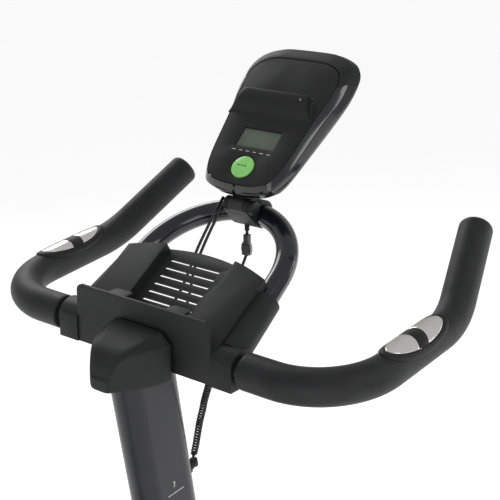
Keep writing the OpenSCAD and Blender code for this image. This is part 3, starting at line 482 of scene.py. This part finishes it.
# Their routes, in mm from the handlebar's middle
CURLY = [(30, -57, -24), (32, -54, -36), (35, -49, -48), (39, -42, -62), (43, -35, -76),
         (47, -29, -90), (50, -23, -104), (54, -17, -118), (57, -12, -132), (60, -7, -146),
         (62, -3, -156), (63, 0, -164)]
LEAD_LEFT = [(152, 25.5, 115.5), (140, 25.5, 104), (122, 25, 86), (104, 24, 67), (88, 22, 48),
             (66, 18, 28), (40, 14, 14), (17, 13, 3)]
LEAD_RIGHT = [(153, 20.5, 115.5), (141, 20.5, 104), (124, 20.5, 86), (107, 19.5, 67), (90, 17, 48),
              (66, 4, 28), (40, -8, 14), (17, -13, 3)]
LEAD_MIDDLE = [(162, 0, 81.5), (162, 0, 78), (162, 0, 66), (162, 0, 54), (160, 0, 49), (154, 0, 40),
               (138, -4, 28), (110, -20, 14), (76, -42, -2), (48, -54, -12), (30, -57, -17)]
LEAD_D = 3.4
WIRE_D = 2.5
COIL_R = 2.95
COIL_PITCH = 4.6
COIL_RUNOUT = 7.0  # length over which the coil opens at each end
TURN_POINTS = 14


def coiled_line(route):
    """The wire's own line: a helix round the route whose radius grows from its ends."""
    core = resampled(curve_through(route, 12), COIL_PITCH / TURN_POINTS)
    run = np.linspace(0, length_of(core), len(core))
    grow = np.clip(np.minimum(run, run[-1] - run) / COIL_RUNOUT, 0, 1)
    grow = grow * grow * (3 - 2 * grow)
    angles = 2 * math.pi * run / COIL_PITCH
    rings = np.array(sweep(core, 1.0, 4))
    side, other = rings[:, 0] - core, rings[:, 1] - core
    out = side * np.cos(angles)[:, None] + other * np.sin(angles)[:, None]
    return core + (COIL_R * grow)[:, None] * out


def cord_piece(name, line, diameter, sides, body, replaces):
    """A round lead along its line."""
    line = at(line)
    rings = sweep(line, diameter / 2 * MM, sides)
    obj = piece(name, *loft(rings), body, "cord_jacket", replaces=replaces)
    return obj


cord_piece("curly_cord_coil", coiled_line(CURLY), WIRE_D, 8, "handlebar", ["curly_cord"])

# The two upper leads, which run up to the console, ride on no body: their places are baked into their points
for lead_name, route in (("console_lead_left", LEAD_LEFT), ("console_lead_right", LEAD_RIGHT)):
    lead = cord_piece(lead_name, resampled(curve_through(route, 10), 2.0), LEAD_D, 12, None,
                      ["console_leads"])
    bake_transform(lead)
cord_piece("console_lead_middle", resampled(curve_through(LEAD_MIDDLE, 10), 2.0), LEAD_D, 12, "handlebar",
           ["console_leads"])

# ---------------------------------------------------------------- handlebar, loop and grips

BAR = [(0, 0, 0), (0, 238, 0), (197.5, 243.5, 16.5), (296.1, 213.8, 85.8)]
BENDS = [80, 95]
BAR_R = 14.0
GRIP_R = 19.0
GRIP_START = 126
GRIP_TIP = 7.5  # rounding of a grip's closed end
GRIP_EDGE = 1.8  # rounding of its cut edge
MIRROR_Y = np.array([1, -1, 1])

half_bar = resampled(filleted(BAR, BENDS), 5.0)[:-1]
bar_line = np.vstack([half_bar[:0:-1] * MIRROR_Y, half_bar])
piece("handlebar_tube_round", *loft(sweep(at(bar_line), BAR_R * MM, 40)), "handlebar", "frame_paint",
      replaces=["handlebar_tube"])


def grip(name, side, node):
    """A foam sleeve with a rounded cut edge at its start and a rounded closed end."""
    line = resampled(filleted([(0, GRIP_START, 0)] + BAR[1:], BENDS), 2.5)
    ahead = (line[-1] - line[-2]) / np.linalg.norm(line[-1] - line[-2])
    angles = np.linspace(0, math.pi / 2, 9)
    tip = np.array([line[-1] + ahead * (1.5 + GRIP_TIP * math.sin(g)) for g in angles])
    tip_r = GRIP_R - GRIP_TIP + GRIP_TIP * np.cos(angles)
    first = line[1] - line[0]
    first /= np.linalg.norm(first)
    edge_angles = np.linspace(math.pi / 2, 0, 6)[:-1]
    edge = np.array([line[0] + first * GRIP_EDGE * (1 - math.sin(g)) for g in edge_angles])
    edge_r = GRIP_R - GRIP_EDGE + GRIP_EDGE * np.cos(edge_angles)
    path = np.vstack([edge, line[1:], tip])
    radii = np.concatenate([edge_r, np.full(len(line) - 1, GRIP_R), tip_r])
    rings = sweep(at(path * (1, side, 1)), radii * MM, 56)
    return piece(name, *loft(rings), "handlebar", "grip_foam", replaces=[node])


grip("grip_left_foam", 1, "grip_left")
grip("grip_right_foam", -1, "grip_right")

# The loop: an arc whose legs splay a little on their way to the bar
LOOP_MIDDLE = 104.9
LOOP_R = 91.2
LOOP_TUBE_R = 12.3
LOOP_FOOT_X = 14.4
LOOP_FOOT_Y = 100.5
SPLAY = math.radians(4.9)


def on_arc(g):
    return np.array([LOOP_MIDDLE + LOOP_R * math.cos(g), LOOP_R * math.sin(g), 0])


foot = (LOOP_FOOT_X, LOOP_FOOT_Y - LOOP_FOOT_X * math.tan(SPLAY), 0)
arc = [on_arc(g) for g in np.linspace(math.pi / 2 - SPLAY, SPLAY - math.pi / 2, 73)]
loop_line = resampled([foot, *arc, (foot[0], -foot[1], 0)], 3.0)
piece("loop_tube_round", *loft(sweep(at(moved(LOOP, loop_line)), LOOP_TUBE_R * MM, 48)), "handlebar",
      "loop_paint", replaces=["loop_tube"])

# A small plug in the right leg of the loop
PLUG = [(3.4, 11.0), (3.4, 12.5), (3.1, 12.95), (2.5, 13.1), (0.4, 13.2)]  # radius, height
plug_at, plug_up = math.radians(-69.3), math.radians(40)
plug_out = np.array([math.cos(plug_at) * math.cos(plug_up), math.sin(plug_at) * math.cos(plug_up),
                     math.sin(plug_up)])
plug_side = np.cross(plug_out, (0, 0, 1))
plug_side /= np.linalg.norm(plug_side)
plug_top = np.cross(plug_out, plug_side)
plug_rings = [[on_arc(plug_at) + plug_out * h + r * (plug_side * math.cos(a) + plug_top * math.sin(a))
               for a in np.linspace(0, 2 * math.pi, 24, endpoint=False)] for r, h in PLUG]
piece("loop_plug", *loft([at(moved(LOOP, r)) for r in plug_rings]), "handlebar", "rubber_black", smooth=50)

# ---------------------------------------------------------------- pulse sensors

SENSOR_X = 121.0
SENSOR_TURN = math.radians(5)  # outwards from straight up
SEAT_R = 19.2  # where the sensor's parts start, just off the foam
PLATE_R = 20.45
PLATE_LIFT = 0.55  # from a plate's edge to its middle
PLATE_A, PLATE_B = 46.6, 15.4  # half axes of the oval that both plates fill
REAR_EDGE, FRONT_EDGE = 108.5, 126.0  # where the band meets the plates
CROWN = 1.5  # how much higher the sensor's middle stands than its ends
CROWN_A = 55
# Collar of a sensor, from its outer foot to its inner one: half axes and radius from the bar's line
COLLAR = [(54.5, 23.4, 18.6), (54.4, 23.3, 19.3), (54.0, 22.9, 20.0), (53.2, 22.1, 20.55),
          (52.0, 21.0, 20.8), (50.4, 19.4, 20.9), (48.4, 17.1, 20.85), (47.6, 16.3, 20.6),
          (47.2, 15.9, 20.0), (47.1, 15.8, 19.3), (25.0, 8.0, 19.3), (4.0, 1.3, 19.3)]
bar_dir = np.array(BAR[2], float) - np.array(BAR[1], float)
bar_dir /= np.linalg.norm(bar_dir)


def palm(side):
    """The straight part of the bar under a palm: X along it, Z up, in mm."""
    return place((0, side * BAR[1][1], 0), math.degrees(math.asin(bar_dir[2])),
                 side * math.degrees(math.atan2(bar_dir[1], bar_dir[0])))


def on_bar(side, x, y, r):
    """Points wrapped on the bar's round top at radius r, crowned towards the sensor's middle."""
    x, y, r = np.broadcast_arrays(np.asarray(x, float), y, r)
    across = y / GRIP_R + SENSOR_TURN
    rise = CROWN * np.clip(1 - ((x - SENSOR_X) / CROWN_A) ** 2, 0, 1) * np.cos(y / GRIP_R * 0.9) ** 2
    r = r + np.where(r > 19.9, rise, 0)
    flat = np.stack([x, side * r * np.sin(across), r * np.cos(across)], axis=-1)
    return at(moved(palm(side), flat.reshape(-1, 3))).reshape(flat.shape)


def band_edge(y, x0):
    """The bowed line where the band meets a plate."""
    return x0 + 5.0 * (1 - (y / PLATE_B) ** 2) - 0.12 * y


def sensor_plate(side, x0, sign):
    """Points and faces of one plate: a softly raised top, and a wall down to the foam."""
    columns, rows = 33, 25
    grid = []
    for y in PLATE_B * np.sin(np.linspace(-math.pi / 2, math.pi / 2, rows)) * 0.985:
        rim = SENSOR_X + sign * PLATE_A * math.sqrt(max(0.0, 1 - (y / PLATE_B) ** 2))
        near = band_edge(y, x0)
        xs = near + (rim - near) * (1 - (1 - np.linspace(0, 1, columns)) ** 1.6)
        inset = np.minimum(np.minimum(abs(xs - near), abs(rim - xs)), (PLATE_B - abs(y)) * 1.2)
        grid.append(on_bar(side, xs, y, PLATE_R + PLATE_LIFT * (1 - np.exp(-inset / 0.8))))
    top = np.array(grid)
    edge = ([(0, k) for k in range(columns)] + [(i, columns - 1) for i in range(1, rows)]
            + [(rows - 1, k) for k in range(columns - 2, -1, -1)]
            + [(i, 0) for i in range(rows - 2, 0, -1)])
    points = list(top.reshape(-1, 3))
    faces = skin_quads(rows, columns, closed=False)
    start, ahead = at(moved(palm(side), [(0, 0, 0), (1, 0, 0)]))
    along = (ahead - start) / np.linalg.norm(ahead - start)
    base, around = len(points), len(edge)
    for i, k in edge:
        p = top[i, k]
        on_axis = start + ((p - start) @ along) * along
        points.append(on_axis + (p - on_axis) * (SEAT_R / PLATE_R))
    ids = [i * columns + k for i, k in edge]
    faces += [(ids[j], ids[(j + 1) % around], base + (j + 1) % around, base + j) for j in range(around)]
    return points, faces


def sensor(side, tag):
    """A pulse sensor: its collar, two plates and the band between them."""
    angles = np.linspace(0, 2 * math.pi, 96, endpoint=False)
    rings = [on_bar(side, SENSOR_X + a * np.cos(angles), b * np.sin(angles), r) for a, b, r in COLLAR]
    piece(f"pulse_bezel_{tag}", *loft(rings), "handlebar", "black_plastic",
          replaces=["pulse_bezels"])
    for part, x0, sign in (("rear", REAR_EDGE, -1), ("front", FRONT_EDGE, 1)):
        piece(f"pulse_plate_{tag}_{part}", *sensor_plate(side, x0, sign), "handlebar", "sensor_plate",
              replaces=["pulse_plates"], smooth=35)
    y = np.linspace(-PLATE_B - 0.4, PLATE_B + 0.4, 31)
    width = FRONT_EDGE - REAR_EDGE
    rings = [on_bar(side, band_edge(y, REAR_EDGE) + offset, y, r)
             for offset, r in ((0.3, SEAT_R), (0.35, 20.4), (0.8, 20.62), (width / 2, 20.68),
                               (width - 0.8, 20.62), (width - 0.35, 20.4), (width - 0.3, SEAT_R))]
    piece(f"pulse_band_{tag}", *loft(np.array(rings).transpose(1, 0, 2)), "handlebar", "black_plastic")


sensor(1, "left")
sensor(-1, "right")

# ---------------------------------------------------------------- tray and post cover

softened("tray", 0.7, "tray_moulding", TRAY_PLASTIC, sharp=40)

# Cross-sections of the post cover: X, half width, bottom, top of its flank, crest, half width of the crest
NOSE = [(-14.3, 45, -30, 12, 24, 31), (-19, 44.8, -30, 11.8, 23.4, 30.5), (-24, 43.8, -30, 11.6, 22.4, 30),
        (-36, 40, -30, 11, 19, 27), (-48, 34, -30, 10.8, 15.6, 22), (-58, 27.5, -30, 9.4, 12.4, 17),
        (-65, 22.5, -30, 6.0, 8.2, 14), (-70, 18.5, -30, 0.6, 2.4, 11.5), (-74, 15.5, -30, -8.5, -7, 9.5),
        (-76, 13.5, -30, -17, -16, 8)]


def nose_ring(x, half, low, side, top, flat):
    """A cross-section of the post cover with narrow rounded corners, in mm."""
    right_half = [(0, low), (half - 6, low), (half - 2.2, low + 0.6), (half - 0.4, low + 3),
                  (half, low + 7), (half, side - 3.6), (half - 0.2, side - 1.2), (half - 1.2, side + 0.7),
                  (half - 3.0, side + (top - side) * 0.2), (flat + 2.4, top - (top - side) * 0.14),
                  (flat + 0.4, top - 0.25), (flat - 2.2, top), (0, top)]
    left_half = [(-y, z) for y, z in right_half[-2:0:-1]]
    return [(x, y, z) for y, z in right_half + left_half]


nose_rings = [nose_ring(*NOSE[0])] + [nose_ring(*s) for s in NOSE]
last = NOSE[-1]
nose_rings.append([(last[0] - 1.6, y * 0.86, z * 0.93 - 1.5) for _, y, z in nose_ring(*last)])
points, faces = loft([at(r) for r in nose_rings])
nose = piece("post_cover_shell", points, faces, "handlebar", "black_plastic", TRAY_PLASTIC,
             replaces=["post_cover"], smooth=60)
subdivided(nose)

# ---------------------------------------------------------------- console

# Half outlines of the console, X along it and Y across: the face, its rim, the widest line and the back
FACE = [(-61.5, 8), (-60, 24), (-56, 36), (-49, 44), (-26, 51), (31, 57), (60, 61), (82, 62), (96, 58.5),
        (104, 51), (109.5, 39), (111.5, 22)]
RIM = [(-68.5, 10), (-66.5, 26), (-62, 40), (-54, 48), (-28, 56.5), (31, 64), (64, 70), (86, 71.5), (106, 69),
       (120, 59), (128, 42), (131, 24)]
SKIRT = [(-66, 10), (-64, 27), (-59, 40), (-50, 49), (-26, 57), (31, 66), (64, 73), (86, 76), (108, 74),
         (123, 64), (132, 45), (135, 25)]
BACK = [(-56, 10), (-53, 24), (-46, 34), (-36, 42), (20, 55), (60, 62), (84, 64), (98, 60), (108, 48),
        (113, 26)]
BUTTON_X = -38.7
TRIM_TOP = 95  # the glossy trims end here, and the plain top cap goes on
COUNT = 192


def outline(half):
    """A closed smooth outline with COUNT points, from one half of it."""
    both = list(half) + [(x, -y) for x, y in reversed(half)]
    return same_count(curve_through(both, 8, closed=True), COUNT)


def shrunk(line, by):
    centre = np.array([20.0, 0.0])
    away = line - centre
    return line - by * away / np.linalg.norm(away, axis=1)[:, None]


def level(line, z):
    return np.column_stack([line, np.full(len(line), z)])


def same_count(line, n):
    """Resamples a closed outline to n points, starting at its first one."""
    closed = np.vstack([line, line[:1]])
    run = np.concatenate([[0], np.cumsum(np.linalg.norm(np.diff(closed, axis=0), axis=1))])
    marks = np.linspace(0, run[-1], n, endpoint=False)
    return np.stack([np.interp(marks, run, closed[:, k]) for k in range(2)], axis=1)


face_ring, rim_ring, skirt_ring, back_ring = (outline(half) for half in (FACE, RIM, SKIRT, BACK))


def bezel_ring(t, z):
    """The bezel's outline, from the face at 0 over the rim at 1 to the skirt at 2."""
    if t <= 1:
        return level(face_ring + (rim_ring - face_ring) * t, z)
    return level(rim_ring + (skirt_ring - rim_ring) * (t - 1), z)


bezel_rings = np.array([bezel_ring(t, z) for t, z in (
    (0.04, -4.0), (0.04, -0.5), (0.06, -0.12), (0.12, -0.1), (0.4, -1.9), (0.7, -4.2), (0.9, -6.0),
    (0.98, -7.0), (1.08, -8.0), (1.35, -10.2), (1.7, -12.8), (1.9, -14.2), (1.96, -14.7), (1.9, -15.0),
    (1.5, -15.0), (0.9, -10.0), (0.5, -6.4), (0.12, -4.2), (0.08, -4.6))])


def run_of(mask):
    """The stretches of neighbouring outline points where mask holds."""
    n, starts = len(mask), [i for i in range(len(mask)) if mask[i] and not mask[i - 1]]
    out = []
    for s in starts:
        run = [s]
        while mask[(run[-1] + 1) % n] and len(run) < n:
            run.append((run[-1] + 1) % n)
        out.append(run)
    return out


def bezel_part(name, run, slot, replaces):
    """One moulding of the bezel: the outline points of run, closed at both ends a little short of them."""
    rings = bezel_rings[:, run, :].transpose(1, 0, 2).copy()
    for end, neighbour in ((0, 1), (-1, -2)):
        rings[end] += (rings[neighbour] - rings[end]) * 0.1
    points, faces = loft(at(moved(CONSOLE, rings.reshape(-1, 3))).reshape(rings.shape))
    return piece(name, points, faces, "console", slot, replaces=replaces, smooth=40)


inside_trim = rim_ring[:, 0] < TRIM_TOP
trims = run_of(inside_trim & (rim_ring[:, 1] > 0)) + run_of(inside_trim & (rim_ring[:, 1] < 0))
plain = run_of(~inside_trim)
for k, run in enumerate(trims):
    bezel_part(f"console_trim_{k + 1}", run, "gloss_trim", ["console_trims"])
for k, run in enumerate(plain):
    run = [(run[0] - 1) % COUNT, *run, (run[-1] + 1) % COUNT]
    bezel_part(f"console_bezel_{k + 1}", run, "black_plastic", ["console_front"])

shell_rings = [level(shrunk(skirt_ring, by), z) for by, z in ((2.0, -15.3), (1.0, -15.4), (0.8, -16.2))]
for t, z in ((0.0, -17.6), (0.12, -20.0), (0.3, -23.0), (0.52, -26.2), (0.74, -28.8), (0.9, -30.4),
             (1.0, -31.0)):
    shell_rings.append(level(shrunk(skirt_ring, 0.8) * (1 - t) + back_ring * t, z))
shell_rings.append(level(shrunk(back_ring, 8), -31.3))
points, faces = loft([at(moved(CONSOLE, r)) for r in shell_rings])
back_shell = piece("console_back_shell", points, faces, "console", "grey_plastic", replaces=["console_back"],
                   smooth=30)


def carved(obj, matrix, low, high):
    """Cuts a square pocket, given in mm, out of a piece."""
    bm = bmesh.new()
    bmesh.ops.create_cube(bm, size=1)
    middle, size = (np.array(low) + high) / 2, np.array(high) - low
    mesh = bpy.data.meshes.new("pocket")
    for v in bm.verts:
        v.co = Vector(at(moved(matrix, [middle + size * v.co]))[0])
    bm.to_mesh(mesh)
    bm.free()
    cutter = linked("pocket", mesh)
    cut = obj.modifiers.new("pocket", "BOOLEAN")
    cut.object, cut.operation, cut.solver = cutter, "DIFFERENCE", "EXACT"
    baked(obj)
    bpy.data.objects.remove(cutter)


# A pocket for the clamp, and the lug that hangs the console on the clamp's pivot
carved(back_shell, CONSOLE, (-92, -23.5, -36), (-56.5, 23.5, -12))
lug = [(-72 + 9 * math.cos(a), -27 + 9 * math.sin(a)) for a in np.radians(np.arange(50, 331, 10))]
lug = [(-48, -20.4), *lug, (-48, -31)]
piece("console_lug", *loft([at(moved(CONSOLE, [(x, y, z) for x, z in lug])) for y in (-9.8, 9.8)]), "console",
      "grey_plastic", smooth=30)

# The face: a plate with a rounded edge, its window and button well, and the ridge
face_inset = shrunk(face_ring, 0.35)
plate_rings = [level(shrunk(face_ring, 0.5), -3.0), level(face_inset, -2.6), level(face_inset, -0.45),
               level(shrunk(face_inset, 0.15), -0.1), level(shrunk(face_inset, 0.5), 0.0)]


def window_rim(half_x=12.3, half_y=26.3, r=1.2):
    """The display's opening, with round corners."""
    corners = ((half_x - r, half_y - r), (-half_x + r, half_y - r), (-half_x + r, -half_y + r),
               (half_x - r, -half_y + r))
    return np.array([(x + r * math.cos(g), y + r * math.sin(g)) for k, (x, y) in enumerate(corners)
                     for g in np.radians(np.linspace(90 * k, 90 * k + 90, 5))])


def button_rim(r, sides):
    """A circle round the button's middle."""
    g = np.linspace(0, 2 * math.pi, sides, endpoint=False)
    return np.column_stack([BUTTON_X + r * np.cos(g), r * np.sin(g)])


def holed_top(z, outer, holes):
    """Fills the plate's top between its outer rim and the holes."""
    bm = bmesh.new()
    edges = []
    for line in [outer, *holes]:
        ring = [bm.verts.new((*p, z)) for p in line]
        edges += [bm.edges.new((ring[k], ring[(k + 1) % len(ring)])) for k in range(len(ring))]
    bmesh.ops.triangle_fill(bm, use_beauty=True, use_dissolve=False, edges=edges)
    bm.verts.index_update()
    out = (np.array([v.co for v in bm.verts]), [[v.index for v in f.verts] for f in bm.faces])
    bm.free()
    return out


def with_flares(hole, out):
    """A hole's rim moved outwards from its middle."""
    centre = hole.mean(axis=0)
    away = hole - centre
    return hole + out * away / np.linalg.norm(away, axis=1)[:, None]


holes = [window_rim(), button_rim(14.35, 48)]
top_points, top_faces = holed_top(0.0, shrunk(face_inset, 0.5), [with_flares(h, 0.9) for h in holes])
points, faces = loft(plate_rings, caps=False)
faces = [tuple(f) for f in faces] + [tuple(reversed(range(COUNT)))]
points = list(points)


def append(more_points, more_faces):
    base = len(points)
    points.extend(more_points)
    faces.extend(tuple(base + i for i in f) for f in more_faces)


append(top_points, top_faces)
for hole in holes:
    rings = [level(with_flares(hole, 0.9), 0.0), level(with_flares(hole, 0.5), -0.12),
             level(with_flares(hole, 0.15), -0.5), level(hole, -0.9), level(hole, -2.9)]
    p, f = loft(rings, caps=False)
    append(p, [*f, tuple(range(4 * len(hole), 5 * len(hole)))])
face_points = at(moved(CONSOLE, np.array(points)))
piece("console_face_plate", face_points, faces, "console", "black_plastic",
      replaces=["console_face"], smooth=32)

# The ridge that a phone leans on, its ends flared towards its foot: its profile as X and Z, then
# rings across it as Y, share of the height and how far its foot reaches down
CREST = [(28, -0.5), (29.3, 0.1), (31.0, 0.9), (33.2, 2.4), (35.6, 4.6), (38.5, 7.2), (42, 9.6),
         (46, 11.4), (50, 12.5), (54, 13.0), (56.4, 12.9), (57.5, 12.5), (58.0, 11.4), (58.1, 9.2),
         (58.4, 5.6), (59.2, 2.6), (60.6, 0.8), (62.5, 0.0), (63.5, -0.5)]
RIDGE_ENDS = [(-50.6, 0.02, 1.0), (-49.8, 0.05, 0.7), (-49.0, 0.13, 0.4), (-48.5, 0.3, 0.2),
              (-48.2, 0.62, 0.1), (-48.0, 0.9, 0.0), (-47.6, 0.98, 0.0), (-46.6, 1.0, 0.0),
              (0, 1.0, 0.0), (38, 1.0, 0.0), (50, 0.99, 0.0), (52.5, 0.94, 0.0), (54.5, 0.84, 0.0),
              (56.0, 0.68, 0.0), (57.0, 0.46, 0.0), (57.6, 0.2, 0.0)]


def flared(x, y):
    """The ridge's ends lean outwards towards its foot."""
    down = min(1.0, max(0.0, (57.4 - x) / 27))
    if y < -40:
        return y + 5.5 - 12.5 * down ** 1.8
    return y - 8 + 10 * down ** 1.1 if y > 48 else y


ridge_rings = [[(x - 3.0 * lower * (x < 40), flared(x, y), z * share if z > 0 else z) for x, z in CREST]
               for y, share, lower in RIDGE_ENDS]
points, faces = loft([at(moved(CONSOLE, r)) for r in ridge_rings])
piece("console_ridge", points, faces, "console", "black_plastic", smooth=55)

# Display: a sunken screen in the window
screen = level(with_flares(holes[0], -0.15), 0)
points, faces = loft([at(moved(CONSOLE, screen + (0, 0, z))) for z in (-2.8, -2.2)])
piece("lcd_window", points, faces, "console", "display", replaces=["lcd_screen"], smooth=30)

# Button: domed cap with a shallow edge, a dark ring round it and a plain mark
cap_rings = [level(button_rim(r, 64), z)
             for r, z in ((13.7, -4.5), (13.7, 0.6), (13.55, 1.1), (13.1, 1.45), (12.0, 1.75), (9.0, 2.3),
                          (6.0, 2.62), (3.0, 2.8), (0.6, 2.86))]
points, faces = loft([at(moved(CONSOLE, r)) for r in cap_rings])
piece("mode_button_cap", points, faces, "button", "button_green", replaces=["mode_button"], smooth=50)
for k in range(3):
    rounded_box(f"button_mark_{k + 1}", CONSOLE, (-38.2, -4.4 + 4.4 * k, 2.75), (1.1, 3.0, 0.5), 0.2,
                "button", "button_green", SEAM_BLACK)

# Printed dashes under the display, in place of words, and a dot on the ridge
for k in range(6):
    rounded_box(f"face_dash_{k + 1}", CONSOLE, (-18.0, 24.5 - 9.6 * k, 0.0), (0.8, 5.2 - 0.9 * (k % 2), 0.1),
                0.03, "console", "black_plastic", PRINT_WHITE)
rounded_box("ridge_dot", CONSOLE, (50.6, -36.0, 12.55), (2.4, 0.8, 0.4), 0.1, "console", "black_plastic",
            PRINT_WHITE)

# ---------------------------------------------------------------- post marks

rounded_box("height_mark_line", place((11.3, -20.05, -177.7), 3.4), (0, 0, 0), (25, 0.25, 0.9), 0.08,
            "handlebar", "post_paint", PRINT_WHITE)
rounded_box("height_mark_digit", place((9, -20.05, -167), -9.8), (0, 0, 0), (1.1, 0.25, 7), 0.08,
            "handlebar", "post_paint", PRINT_WHITE)
rounded_box("height_mark_flag", place((7.9, -20.05, -164.4), -35), (0, 0, 0), (2.4, 0.25, 0.9), 0.08,
            "handlebar", "post_paint", PRINT_WHITE)

# ---------------------------------------------------------------- moulded and painted CAD pieces

for soft_node, width in {
    "console_bracket": 0.7, "belt_cover": 1.2, "belt_cover_back": 0.6, "crank_arms": 1.2,
    "resistance_knob": 1.0, "seat_post_knob": 1.0, "saddle_knob": 1.0, "handlebar_post_knob": 1.0,
    "foot_caps": 1.5, "saddle_base": 1.0, "saddle_slider": 1.0, "seat_rail": 0.7, "head_tube": 0.7,
    "fork_blades": 1.2, "pedal_left": 0.6, "pedal_right": 0.6, "post_bushings": 0.8,
    "brake_carrier": 0.8, "transport_wheel_left": 0.8, "transport_wheel_right": 0.8, "flywheel": 0.8,
    "seat_tube": 0.6, "cord_boot": 0.4,
}.items():
    softened(soft_node, width)

# ---------------------------------------------------------------- in-line connector


LATCH = [(4.4, 64.5), (5.3, 63.2), (6.0, 61.2), (6.5, 58.6), (6.6, 56.2), (6.3, 54.2), (5.6, 52.9),
         (4.7, 52.5)]  # Y and Z of its middle line
LATCH_HALF_WIDTH = 1.6
LATCH_HALF_THICK = 0.4
CONNECTOR_X = 161.5
LEAD_X = 162
# Rubber sleeve where the middle lead leaves the clamp: radius, height
SLEEVE = [(2.05, 78.6), (2.5, 78.7), (2.75, 79.1), (2.8, 80.6), (2.5, 81.0), (2.5, 82.0), (2.85, 82.4),
          (2.9, 84.2), (2.6, 84.6), (2.6, 86.0), (3.2, 86.6), (3.4, 88.4), (3.0, 88.8), (0.3, 88.9)]


def latch_arm(side):
    """A thin springy latch that stands off the connector's side and hooks in at its foot."""
    line = np.array(LATCH)
    along = np.vstack([line[1:2] - line[:1], line[2:] - line[:-2], line[-1:] - line[-2:-1]])
    along /= np.linalg.norm(along, axis=1)[:, None]
    rings = []
    for (y, z), (run_y, run_z) in zip(line, along):
        out_y, out_z = -run_z * LATCH_HALF_THICK, run_y * LATCH_HALF_THICK
        rings.append(at([(CONNECTOR_X + dx * LATCH_HALF_WIDTH, side * (y + f * out_y), z + f * out_z)
                         for dx, f in ((-1, -1), (1, -1), (1, 1), (-1, 1))]))
    return loft(rings)


for side, tag in ((1, "left"), (-1, "right")):
    piece(f"connector_latch_{tag}", *latch_arm(side), "handlebar", "cord_jacket", CLEAR_NYLON, smooth=40)
sleeve_rings = [at([(LEAD_X + r * math.cos(a), r * math.sin(a), z)
                    for a in np.linspace(0, 2 * math.pi, 32, endpoint=False)]) for r, z in SLEEVE]
piece("lead_sleeve", *loft(sleeve_rings), "handlebar", "rubber_black", smooth=45)

# ---------------------------------------------------------------- saddle


PRESSURE = 4
SWELL = 0.007  # the most that any point of the cover moves out, in metres
CHANNEL_DEEP = 0.0045
CHANNEL_HALF = 0.011


def inflated(obj):
    """The points of a closed mesh blown up as cloth."""
    rest = vertices_of(obj.data)
    cloth = obj.modifiers.new("cloth", "CLOTH")
    cloth.settings.use_pressure = True
    cloth.settings.uniform_pressure_force = PRESSURE
    cloth.settings.effector_weights.gravity = 0
    cloth.settings.quality = 5
    for step in range(1, 21):
        scene.frame_set(step)
    swollen = vertices_of(obj.evaluated_get(bpy.context.evaluated_depsgraph_get()).data)
    obj.modifiers.clear()
    scene.frame_set(1)
    shift = swollen - rest
    size = np.linalg.norm(shift, axis=1)
    return rest + shift * (np.minimum(size, SWELL) / np.maximum(size, 1e-9))[:, None]


def saddle_pad():
    """The padded saddle: inflated from a slightly smaller copy of its solid."""
    low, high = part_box("saddle_pad")
    centre = (low + high) / 2
    mesh = frame["nodes"]["saddle_pad"].data.copy()
    obj = linked("saddle_pad_cover", mesh)
    for v in mesh.vertices:
        v.co = Vector((centre.x + (v.co.x - centre.x) * 0.975, v.co.y * 0.965,
                       low.z + 0.0005 + (v.co.z - low.z) * 0.86))
    bm = bmesh.new()
    bm.from_mesh(mesh)
    bmesh.ops.remove_doubles(bm, verts=bm.verts, dist=1e-5)
    bm.to_mesh(mesh)
    bm.free()
    remesh = obj.modifiers.new("remesh", "REMESH")
    remesh.mode = "VOXEL"
    remesh.voxel_size = 0.0052
    baked(obj)
    new = inflated(obj)
    # it rests on its base, and a shallow channel runs along its middle
    x, y, z = new.T
    across = np.exp(-(y / CHANNEL_HALF) ** 2) * np.clip((z - low.z - 0.024) / 0.006, 0, 1)
    along = np.clip((x - low.x - 0.03) / 0.05, 0, 1) * np.clip((high.x - 0.06 - x) / 0.05, 0, 1)
    new[:, 2] = np.maximum(z - CHANNEL_DEEP * across * along, low.z + 0.0002)
    obj.data.vertices.foreach_set("co", new.astype(np.float32).ravel())
    smooth = obj.modifiers.new("even", "SMOOTH")
    smooth.factor, smooth.iterations = 0.5, 6
    subdivided(obj, 1)
    obj.data.polygons.foreach_set("use_smooth", [True] * len(obj.data.polygons))
    obj.data.materials.clear()
    obj.data.materials.append(FINISHES["saddle_cover"])
    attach(obj, "saddle")
    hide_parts("saddle_pad")
    return obj


saddle_pad()

# ---------------------------------------------------------------- studio

floor_mesh = bpy.data.meshes.new("floor")
floor_mesh.from_pydata([(-30, -30, 0), (30, -30, 0), (30, 30, 0), (-30, 30, 0)], [], [(0, 1, 2, 3)])
floor = linked("floor", floor_mesh)
floor_finish = finish("floor_pale", (0.9, 0.9, 0.9), (0.92, 0.92, 0.92), 0.9, 30, 0.01, blotch=0.6)
floor_shader = floor_finish.node_tree.nodes["Principled BSDF"]
floor_shader.inputs["Emission Color"].default_value = (1, 1, 1, 1)
floor_shader.inputs["Emission Strength"].default_value = 0.52
floor_mesh.materials.append(floor_finish)

world = bpy.data.worlds.new("studio")
scene.world = world
world.use_nodes = True
sky = world.node_tree.nodes["Background"]
sky.inputs["Color"].default_value = (1, 1, 1, 1)
sky.inputs["Strength"].default_value = 0.47


def softbox(name, place_at, target, size, power):
    data = bpy.data.lights.new(name, "AREA")
    data.shape = "RECTANGLE"
    data.size, data.size_y = size
    data.energy = power
    obj = linked(name, data)
    obj.location = place_at
    aim = Vector(target) - Vector(place_at)
    obj.rotation_euler = aim.to_track_quat("-Z", "Y").to_euler()


softbox("key", (1.5, 2.3, 2.5), (0.2, 0, 1.0), (1.6, 1.2), 24)
softbox("fill", (-2.6, -2.0, 1.2), (0.1, 0, 0.9), (1.8, 1.8), 14)
softbox("front", (3.2, -1.9, 1.2), (0.2, 0, 1.0), (1.3, 1.8), 11)
softbox("side", (0.4, -2.0, 2.5), (0.3, 0, 1.1), (0.5, 1.8), 9)

scene.view_settings.view_transform = "Standard"
